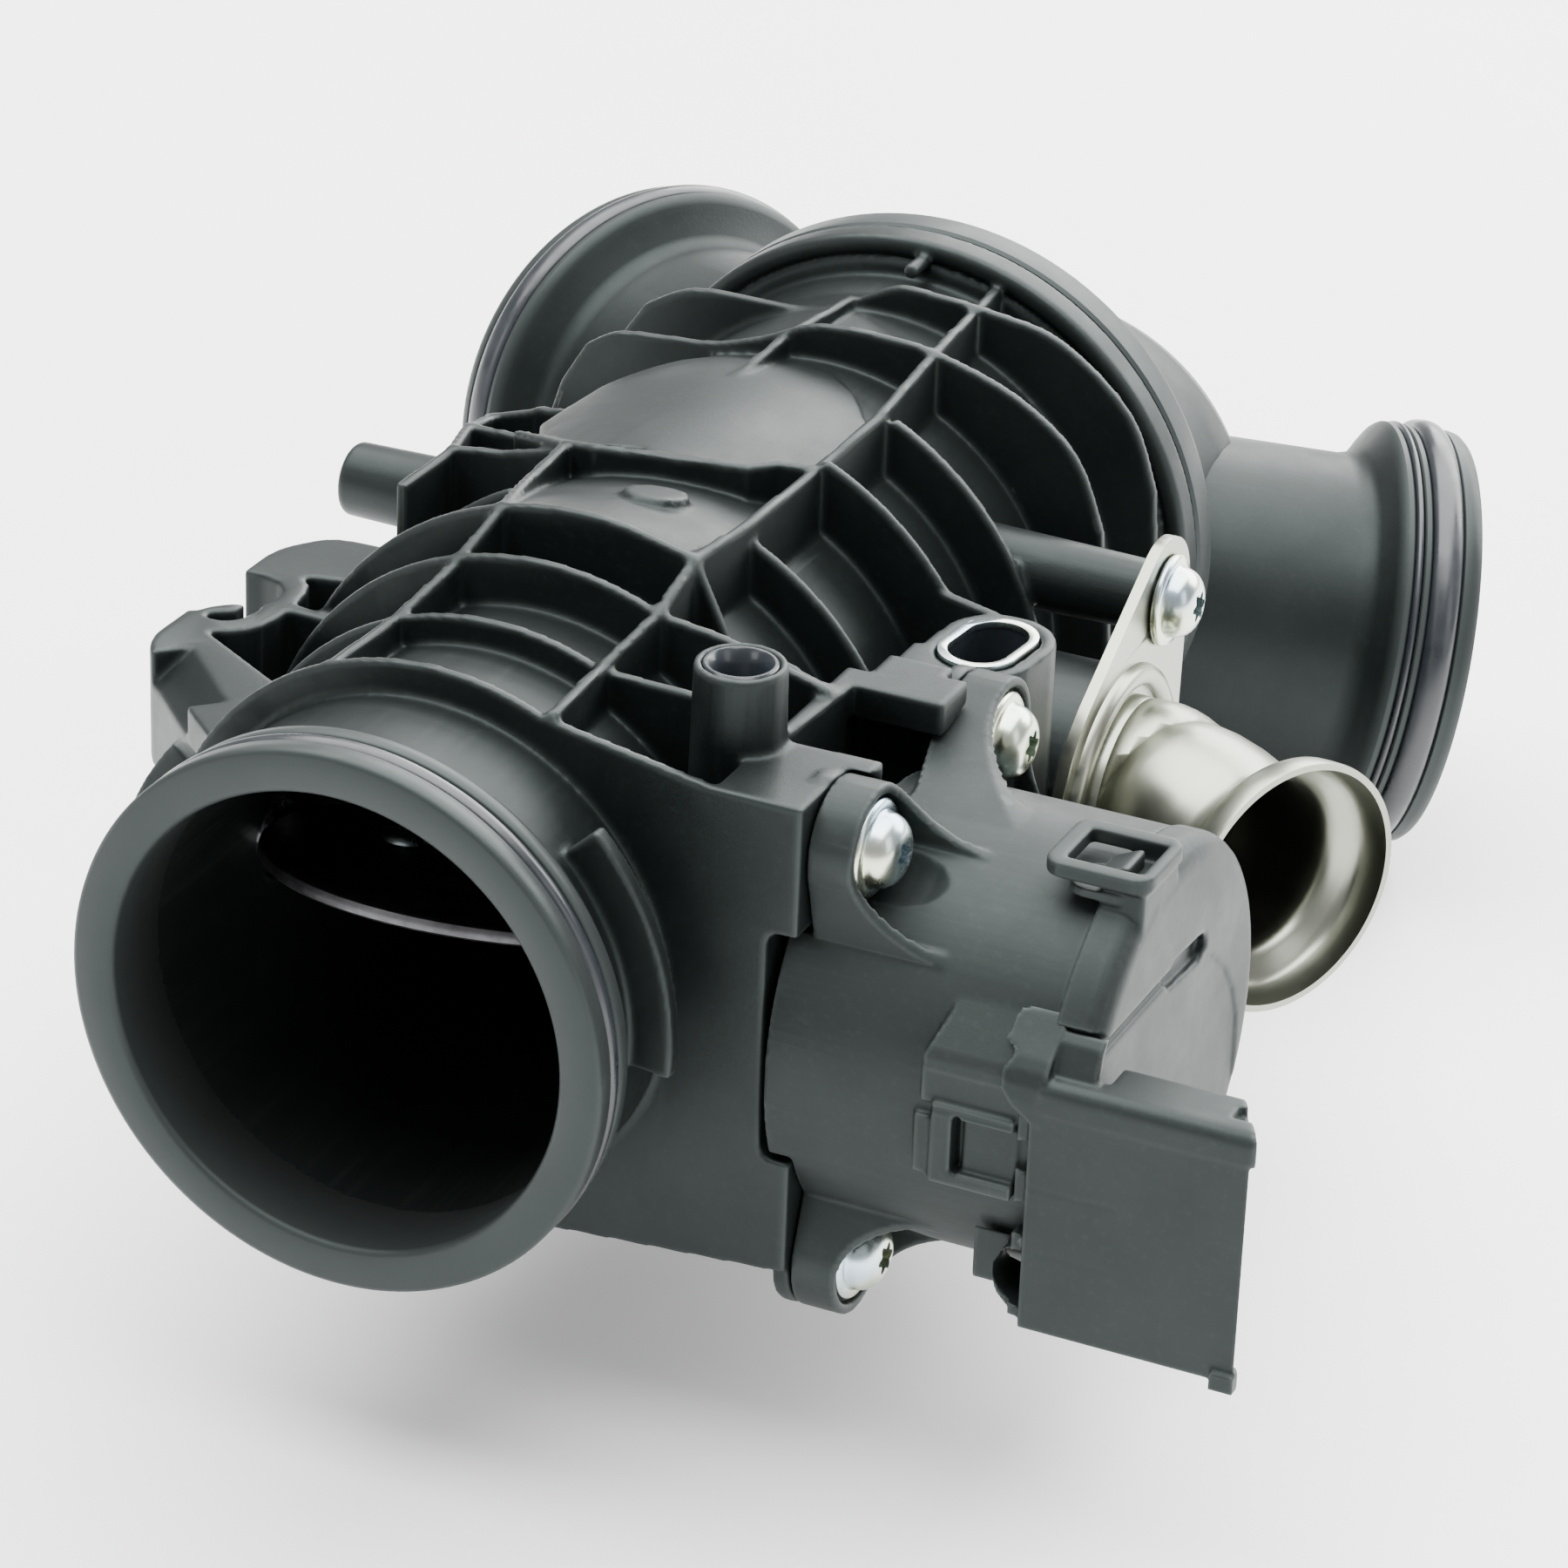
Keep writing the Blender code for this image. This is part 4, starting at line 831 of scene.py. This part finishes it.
def inserts():
    """Steel ring of the upright boss, and rim and sleeve of the slotted one; ring and sleeve sit deep in
    their holes and are coloured near-black as painted shade.
    """
    funnel = [(4.4, 40.1), (4.6, 39.9), (4.6, 26), (3.1, 26), (3.1, 38.4), (3.9, 39.9), (4.1, 40.1)]
    ring = turned("insert_ring", upright(*BOSS, 0), funnel, 64)
    show(ring, "insert_ring", STEEL_PAINTED_SHADE, "machined_steel", "boss_insert")
    rim = prism("rim", upright(0, 0, SLOT_TOP - 0.5), slot_outline(SLEEVE_R), 0.9)
    rim = cut(rim, prism("hole", upright(0, 0, 7), slot_outline(4.0), 30))
    show(bake(bevel(rim, 0.2)), "slot_rim", ZINC, "zinc_steel")
    sleeve = prism("sleeve", upright(0, 0, 8.4), slot_outline(SLEEVE_R), SLOT_TOP - 8.95)
    sleeve = cut(sleeve, prism("hole", upright(0, 0, 7), slot_outline(4.1), 30))
    show(bake(sleeve), "slot_sleeve", STEEL_PAINTED_SHADE, "zinc_steel", "slot_bush")


def bevel(obj, width, segments=2, angle=35.0):
    """Round the edges sharper than an angle in degrees."""
    mod = obj.modifiers.new("Edges", "BEVEL")
    mod.width = width * MM
    mod.segments = segments
    mod.limit_method = "ANGLE"
    mod.angle_limit = math.radians(angle)
    mod.use_clamp_overlap = True
    return obj


def pan_screw(name, node, x, yz):
    """Washer-head screw along X with a six-lobe recess; x is under the head."""
    head_r = 6.2
    head_h = 4.4
    profile = [(0, head_h), (1.6, head_h)]
    for i in range(9):
        a = math.radians(80 - 10 * i)
        profile.append((1.6 + 3.1 * math.cos(a), head_h * 0.30 + head_h * 0.70 * math.sin(a)))
    profile += [(head_r * 0.79, head_h * 0.24), (head_r * 0.93, head_h * 0.22),
                (head_r * 0.99, head_h * 0.14), (head_r, head_h * 0.06), (head_r * 0.98, 0),
                (2.4, 0), (2.4, -9), (0, -9)]
    body = turned(name, along_x(x, yz), profile, 64)
    lobes = []
    for i in range(72):
        a = 2 * math.pi * i / 72
        r = head_r * (0.275 + 0.06 * math.cos(6 * a))
        lobes.append((r * math.cos(a), r * math.sin(a)))
    recess = prism("recess", along_x(x + head_h * 0.35, yz), lobes, head_h)
    show(cut(body, recess), name, ZINC, "zinc_steel", node, angle=40)


def screws():
    """Four screws in the case's ears and two in the pipe's flange plate."""
    for i, yz in enumerate(EARS):
        pan_screw(f"case_screw_{i + 1}", f"actuator_screw_{i + 1}", EAR_X[1] + SCREW_LIFT, yz)
    for place, yz in zip(("upper", "lower"), PIPE_SCREWS):
        pan_screw(f"flange_screw_{place}", f"pipe_screw_{place}", PLATE_X[1] + SCREW_LIFT, yz)


# ---- exhaust gas pipe

def pipe_flange():
    """Diamond plate with a raised ring and the collar that holds the pipe."""
    circles = [(*PORT, 21.0), (*PIPE_SCREWS[0], 8.4), (*PIPE_SCREWS[1], 8.4)]
    plate = prism("plate", along_x(PLATE_X[0]), tangent_hull(circles, 96), PLATE_X[1] - PLATE_X[0])
    raised = turned("raised", along_x(PLATE_X[1] - 0.2, PORT),
                    [(18.2, 0), (17.8, 1.1), (17.0, 1.7), (16.0, 1.7), (15.3, 1.2), (15.0, 0.2), (15.0, -0.6),
                     (18.2, -0.6)])
    collar = turned("collar", along_x(PLATE_X[1] - 0.3, PORT),
                    [(13.9, 0), (13.8, 2.2), (13.5, 2.6), (13.1, 2.6), (13.1, -0.6), (13.9, -0.6)])
    plate = join(plate, raised, collar)
    hole = cylinder("hole", along_x(PLATE_X[0] - 1, PORT), 13.05, 8, 96)
    bolts = [cylinder("bolt", along_x(PLATE_X[0] - 1, yz), 3.0, 5, 32) for yz in PIPE_SCREWS]
    plate = bake(bevel(cut(plate, hole, *bolts), 0.3, 2, 50))
    show(plate, "flange_plate", STEEL, "stainless", "pipe_flange")


def pipe_solid(shrink):
    """Stub, bulged knuckle and flared mouth of the pipe, all smaller by shrink; open ends run on."""
    flare = [(12.6, 2.0), (13.5, 4.5), (13.8, 8.0), (13.7, 12.0), (13.2, 16.0), (12.8, 19.0), (12.8, 20.6),
             (13.2, 21.6), (14.2, 22.5), (15.3, 23.2), (16.1, 23.8), (16.6, 24.6), (16.9, 26.0),
             (17.15, 27.6), (17.1, 28.2)]
    line = [(PIPE_R - shrink, 0)] + [(r - shrink, h) for r, h in flare]
    end = 28.2
    start = 48
    if shrink:
        end = 30
        start = 46
        line.append((line[-1][0], end))
    ball_r = KNEE_R - shrink
    stub = cylinder("stub", along_x(start, PORT), PIPE_R - shrink, KNEE_X - start, ROUND)
    knuckle = turned("knuckle", along_x(KNEE_X, PORT),
                     [(0, ball_r)] + arc((0, 0), ball_r, 82, -82, 24) + [(0, -ball_r)], ROUND)
    mouth = turned("mouth", aim((KNEE_X, *PORT), PIPE_DIR), [(0, end)] + line[::-1] + [(0, 0)], ROUND)
    return stub, knuckle, mouth


def elbow_pipe():
    """Two straight tubes mitred in a bulged knuckle; the mouth flares into a short collar."""
    body = cut(join(*pipe_solid(0)), *pipe_solid(PIPE_WALL))
    show(body, "gas_pipe", STEEL, "stainless", "elbow_pipe", angle=50)


# ---- actuator

def ear_hood(i):
    """Thin-walled screw boss that sweeps down to the round case in two fins."""
    yz = EARS[i]
    top = math.hypot(yz[0] - CASE_C[0], yz[1] - CASE_C[1]) + EAR_R
    solid = prism(f"hood_{i}", along_x(EAR_X[0]), ear_outline(i), 21)
    hollow = prism(f"hood_room_{i}", along_x(EAR_X[1]), ear_outline(i, -EAR_WALL), 30)
    start = EAR_X[1] + 1.2 - EAR_X[0]
    fall = top - 3.0 - CASE_R
    line = [(0, 0), (top + 4, 0), (top + 4, start), (top - 3.0, start)]
    for k in range(1, 13):
        a = math.radians(90 * k / 12)
        line.append((CASE_R - 0.3 + fall * (1 - math.sin(a)), start + 15.5 * (1 - math.cos(a))))
    line.append((0, start + 15.5))
    envelope = turned(f"envelope_{i}", along_x(EAR_X[0], CASE_C), line[::-1], ROUND)
    hood = combine(cut(solid, hollow), [envelope], "INTERSECT")
    if i == 1:
        lean = prism("lean", upright(0, 0, 18), [(44, 66), (49.4, 64), (52.6, 50), (52.6, 40), (44, 40)], 25)
        hood = cut(hood, lean)
    return hood


def screw_recess(i):
    """Round hollow beside a screw head that runs out into the case."""
    r = EAR_R - EAR_WALL
    profile = [(0, 13.0), (1.6, 12.6), (3.4, 11.4), (4.9, 9.6), (6.0, 7.2), (6.6, 4.4), (r, 2.0), (r, 0),
               (0, 0)]
    return turned(f"recess_{i}", along_x(EAR_X[1], EARS[i]), profile, 64)


def clip_ramp():
    """Ramp over the clip, its front corner cut at a slant."""
    side = [(31, 11.4), (28.9, 11.6), (22.3, 4.6), (21.6, 3.4), (21.4, 2.0), (21.4, -2.4), (26, -3.0),
            (34, 4)]
    ramp = prism("clip_ramp", along_x(67.0), side, 14.9)
    slant = prism("slant", along_y(15), across([(60, 20), (72, 16), (67.1, 3.5), (60, 3.5)]), 20)
    return cut(ramp, slant)


def actuator_case():
    """Round cup with four hooded ears, its clip and the hook for the snap loop."""
    case = turned("case", along_x(EAR_X[0], CASE_C),
                  [(0, 32.45), (CASE_R, 32.45), (CASE_R, 0), (0, 0)], ROUND)
    lip = combine(cylinder("case_lip", along_x(46.5, CASE_C), CASE_R, 4, ROUND),
                  [box("lip_part", (40, 20, -16.8), (52, 34, 11.6))], "INTERSECT")
    hook = [(80.4, 17), (84.6, 17), (84.6, 24.2), (83.8, 24.2), (80.4, 22.6)]
    parts = [
        lip,
        cylinder("spigot", along_x(46.2, SHAFT), SPIGOT_R, 8),
        cylinder("motor_cup", along_x(37.0, MOTOR), 12.6, 20),
        clip_ramp(),
        box("clip_frame", (68.8, 20.7, -12.6), (79.4, 30, -1.9)),
        box("clip_end", (66.4, 21.3, -12.2), (70, 30, -4.4)),
        prism("hook", along_y(39.4), across(hook), 5.6),
    ]
    case = join(case, *parts, *[ear_hood(i) for i in range(len(EARS))])
    rooms = [
        cylinder("cavity", along_x(64.5, CASE_C), CAVITY_R, 20, ROUND),
        cylinder("motor_room", along_x(38.3, MOTOR), 11.3, 40),
        cylinder("shaft_room", along_x(40, SHAFT), 4.3, 40),
        box("clip_window", (71.8, 19, -10.7), (81, 21.8, -3.5)),
        box("clip_slit", (71.5, 19, -11.0), (72.5, 23.4, -3.2)),
        box("clip_line", (66, 20, -3.0), (80.2, 21.9, -2.5)),
    ]
    for i, yz in enumerate(EARS):
        rooms.append(screw_recess(i))
        rooms.append(cylinder(f"ear_hole_{i}", along_x(EAR_X[0] - 1, yz), 3.0, 9, 32))
    case = soften(cut(case, *rooms), voxel=0.34, passes=3, keep=0.16)
    show(case, "case_shell", ACTUATOR, "actuator_plastic", "actuator_case", angle=0)


def cover_outline(margin=0.0):
    """Outline of the lid: the round case and a corner over the connector."""
    circles = [(*CASE_C, CASE_R + 0.4 + margin), (33, -18, 8 + margin), (33, -2, 8 + margin)]
    return tangent_hull(circles, 128)


def skirt(inset, length):
    """Thicker band of the lid's rim between the snap loop and the connector."""
    ring = arc(CASE_C, CASE_R + 1.5 - inset, 108, 147.5, 30) + arc(CASE_C, CASE_R - 4, 147.5, 108, 30)
    return prism("skirt", along_x(COVER_X[0]), ring, length)


def actuator_cover():
    """Lid with rounded edge, skirt, snap loop and a sunken channel on its face."""
    edge = 3.0
    steps = 7
    layers = []
    for i in range(steps + 1):
        a = math.radians(90 * i / steps)
        inset = edge * (1 - math.cos(a))
        length = edge * (1 + math.sin(a))
        layers += [prism("cover", along_x(COVER_X[0]), cover_outline(-inset), length),
                   skirt(inset, length)]
    r = 2.6
    loop = prism("loop", upright(0, 0, 22.9),
                 tangent_hull([(x, y, r) for x in (74.9 + r, 86) for y in (35.6 + r, 48.6 - r)]), 2.1)
    tier = prism("tier", upright(0, 0, 20.9),
                 tangent_hull([(x, y, r) for x in (77.8 + r, 84) for y in (36.0 + r, 41)]), 1.2)
    root = box("root", (82.6, 36.4, 16), (87.6, 47.8, 24.8))
    root_edge = box("root_edge", (82.6, 36.8, 16), (87.9, 47.4, 23.6))
    cover = join(*layers, root, root_edge, loop, tier)
    channel = [(20, 6.2), (46, 6.2), (50, 5.6), (50, 7.6), (46, 8.0), (20, 8.0)]
    low_field = [(20, 6.3), (57, 6.3), (61.4, 3.7), (66.5, -0.5), (70, -5), (72.2, -10), (72.6, -22),
                 (60, -38), (20, -38)]
    pocket = tangent_hull([(48.6, 6.8, 1.9), (57.0, 6.2, 1.9)])
    cutters = [
        cylinder("cover_room", along_x(COVER_X[0] - 3, CASE_C), CAVITY_R, 4.6, ROUND),
        prism("channel", along_x(COVER_X[1] - 1.3), channel, 5),
        prism("pocket", along_x(COVER_X[1] - 1.6), pocket, 5),
        prism("low_field", along_x(COVER_X[1] - 0.35), low_field, 5),
        box("loop_window", (77.3, 37.8, 22.2), (87.0, 46.2, 30)),
    ]
    cover = soften(cut(cover, *cutters), voxel=0.34, passes=4, keep=0.25)
    show(cover, "cover_shell", ACTUATOR, "actuator_plastic", "actuator_cover", angle=0)


def connector():
    """Plug socket with a rounded roof, a scalloped side bar and a slanted mouth."""
    y0, y1 = 20.0, 32.0         # outer and inner side
    slant = 8.5                 # the mouth's inner side is this much shorter
    x0 = 81.5                   # back end
    side_bar = box("side_bar", (79.8, y0 + 0.9, -28.0), (82.4, y1 - 0.5, 0.8))
    hook = cylinder("hook", along_y(y0 + 1.6, x=82.2, z=-23.2), 5.0, 9, 48)
    body = prism("connector", upright(0, 0, -28.8), [(x0, y0), (109, y0), (109 - slant, y1), (x0, y1)], 29)
    roof_side = ([(y0 - 0.15, 0.6)] + arc((y0 + 1.75, 2.7), 1.9, 180, 90, 12)
                 + [(28.0, 4.6), (28.5, 4.1), (28.8, 2.0), (y1, 0.4), (y1, -1.2)])
    roof = prism("roof", along_x(82.4), roof_side, 28)
    nose_front = [(76.7, 7.4), (78.4, 6.6), (77.4, 4.6), (77.6, 2.6), (79.0, 0.6), (81.5, -1.2), (83.2, -1.2),
                  (83.2, 10.6), (80, 11.0), (77.2, 10.2)]
    nose_side = [(19.9, -2), (19.9, 1.5), (20.2, 3.6), (20.9, 5.2), (22.0, 6.4), (24.0, 8.2), (27, 11.0),
                 (30, 12.0), (30, -2)]
    nose = combine(prism("nose", along_y(19), across(nose_front), 9),
                   [prism("nose_side", along_x(75), nose_side, 15)], "INTERSECT")
    bridge = prism("bridge", along_x(82.8),
                   [(22.4, 3.5), (22.4, 4.8), (24.2, 8.2), (25.4, 9.2), (30, 9.2), (30, 3.5)], 5.8)
    mouth = prism("mouth", upright(0, 0, -40),
                  [(110.9, y0 - 2), (125, y0 - 2), (125, 40), (110.3 - slant, y1 + 2)], 60)
    back = box("back", (73.6, 24.4, -26.4), (84, 31, -18.9))
    foot = box("foot", (106.2, y0 - 0.8, -29.8), (109.2, y0 + 2, -27.4))
    body = join(body, roof, nose, bridge, back, foot, side_bar, hook)
    rooms = [combine(cylinder("scallop", along_y(y0 - 1, x=x, z=z), r, 14, 48),
                     [box("back_part", (70, y0 - 2, -30), (x0, 36, 2))], "INTERSECT")
             for x, z, r in ((81.0, -6.2, 2.1), (81.0, -14.6, 2.3), (81.3, -22.8, 3.9))]
    rooms += [
        mouth,
        box("socket", (92, y0 + 2.2, -26.4), (125, y1 - 2, 0.2)),
        prism("behind", along_x(70), cover_outline(0.3), 18.3),
        cylinder("case_side", along_x(60, CASE_C), CASE_R + 0.4, 30, ROUND),
        box("clip_side", (60, 20.2, -13.0), (79.6, 45, -2.0)),
        box("roof_notch", (105.2, y0 + 3.4, 3.4), (108.6, y0 + 6.2, 6)),
    ]
    for i in range(5):
        z = -24.1 + 4.6 * i
        rooms.append(box("pin_room", (88.6, 25.3, z), (95, 26.9, z + 1.6)))
    for z in (-9.8, -18.4):
        rooms.append(box("mould_line", (80, y0 - 1, z), (92.6, y0 + 0.12, z + 0.5)))
    rooms.append(box("mould_line", (92.6, y0 - 1, -27), (93.1, y0 + 0.12, 0.6)))
    body = soften(cut(body, *rooms), voxel=0.30, passes=3, keep=0.30)
    show(body, "connector_housing", ACTUATOR, "actuator_plastic", "connector_shell", angle=0)


# ---- throttle in the bore

def tilted(obj):
    """Turn a part from level to the plate's rest position."""
    pivot = Matrix.Translation(Vector((0, *SHAFT)) * MM)
    obj.data.transform(pivot @ Matrix.Rotation(REST_TILT, 4, "X") @ pivot.inverted())
    return obj


def throttle_plate():
    """Round plate on the shaft's flat, and its two screws with cross slots."""
    y, z = SHAFT
    edge = [(0, 2.0), (29.1, 2.0), (29.5, 1.7), (29.6, 1.2), (29.6, 0.8), (29.5, 0.3), (29.1, 0.0), (0, 0.0)]
    plate = turned("disc", upright(0, y, z + 0.3), edge, ROUND)
    holes = [cylinder("clear", upright(x, y, z - 1), 2.0, 8, 32) for x in PLATE_SCREW_X]
    plate = tilted(cut(plate, *holes))
    show(plate, "butterfly_plate", DARK_PLATE, "aluminium", "throttle_plate", body="throttle")
    profile = [(0, 1.6), (1.0, 1.6), (1.9, 1.45), (2.7, 1.05), (3.15, 0.45), (3.2, 0), (1.5, 0), (1.5, -6),
               (0, -6)]
    for i, x in enumerate(PLATE_SCREW_X):
        screw = turned(f"screw_{i}", upright(x, y, z + 2.6), profile, 40)
        cross = join(box("slot_a", (x - 1.6, y - 0.25, z + 3.4), (x + 1.6, y + 0.25, z + 5)),
                     box("slot_b", (x - 0.25, y - 1.6, z + 3.4), (x + 0.25, y + 1.6, z + 5)))
        show(tilted(cut(screw, cross)), f"plate_fixing_{i + 1}", ZINC, "zinc_steel", f"plate_screw_{i + 1}",
             body="throttle")


def carried_over():
    """CAD nodes that keep their own shape get a finished material."""
    looks = {
        "pipe_gasket": RUBBER, "shaft_seal": RUBBER, "drive_motor": ZINC, "motor_pinion": BRASS,
        "idler_gear": ACETAL, "sector_gear": ACETAL, "idler_axle": TURNED_STEEL,
        "throttle_shaft": TURNED_STEEL, "shaft_bush_left": BRASS, "shaft_bush_right": BRASS,
        "shaft_plug": DARK_PLATE, "return_spring": TURNED_STEEL, "position_sensor": BOARD,
    }
    for i in range(5):
        looks[f"terminal_{i + 1}"] = BRASS
    for node, material in looks.items():
        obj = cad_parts[node]
        paint(obj, material)
        if node != "position_sensor":
            bevel(obj, 0.12, 1, 40)


# ---- stage

def camera():
    """Camera on a circle round LOOK_AT, rolled a little."""
    toward = Vector((math.sin(AZIMUTH) * math.cos(ELEVATION), -math.cos(AZIMUTH) * math.cos(ELEVATION),
                     math.sin(ELEVATION)))
    right = Vector((math.cos(AZIMUTH), math.sin(AZIMUTH), 0))
    up = toward.cross(right)
    right_rolled = right * math.cos(ROLL) + up * math.sin(ROLL)
    up_rolled = up * math.cos(ROLL) - right * math.sin(ROLL)
    data = bpy.data.cameras.new("camera")
    data.lens = LENS
    data.sensor_width = 36.0
    data.clip_start = 0.05
    obj = bpy.data.objects.new("camera", data)
    rot = Matrix((right_rolled, up_rolled, toward)).transposed().to_4x4()
    obj.matrix_world = Matrix.Translation(LOOK_AT + toward * DISTANCE) @ rot
    bpy.context.scene.collection.objects.link(obj)
    bpy.context.scene.camera = obj


def area_light(name, place, target, size, power):
    """Soft rectangular lamp at a place, in metres, aimed at a target."""
    data = bpy.data.lights.new(name, "AREA")
    data.shape = "RECTANGLE"
    data.size, data.size_y = size
    data.energy = power
    obj = bpy.data.objects.new(name, data)
    obj.location = place
    obj.rotation_euler = (Vector(place) - Vector(target)).to_track_quat("Z", "Y").to_euler()
    bpy.context.scene.collection.objects.link(obj)


def stage():
    """Pale floor half a millimetre under the part, soft light from above, behind and both sides."""
    low = cad_box[0][2]
    bm = bmesh.new()
    bmesh.ops.create_grid(bm, x_segments=8, y_segments=8, size=3.0)
    floor = mesh_from("floor", bm, Matrix.Translation((0, 0, low - 0.0005)))
    floor.data.materials.append(floor_material())
    world = bpy.data.worlds.new("studio")
    bpy.context.scene.world = world
    world.use_nodes = True
    background = world.node_tree.nodes["Background"]
    background.inputs["Color"].default_value = (1.0, 1.0, 1.0, 1)
    background.inputs["Strength"].default_value = 0.50
    area_light("ceiling", (-0.25, 0.45, 1.7), (-0.25, 0.45, 0), (2.6, 2.6), 190)
    area_light("rear_wall", (0.6, 2.6, 1.25), (0.02, 0.05, 0.1), (3.6, 1.8), 210)
    area_light("front", (-0.7, -1.3, 0.9), (0.02, 0.05, 0), (0.7, 0.7), 5)
    area_light("side", (1.3, -0.2, 0.6), (0.05, 0.05, 0), (0.5, 0.9), 3)


camera()
stage()
main_housing()
rear_distributor()
seals()
inserts()
screws()
pipe_flange()
elbow_pipe()
actuator_case()
actuator_cover()
connector()
throttle_plate()
carried_over()
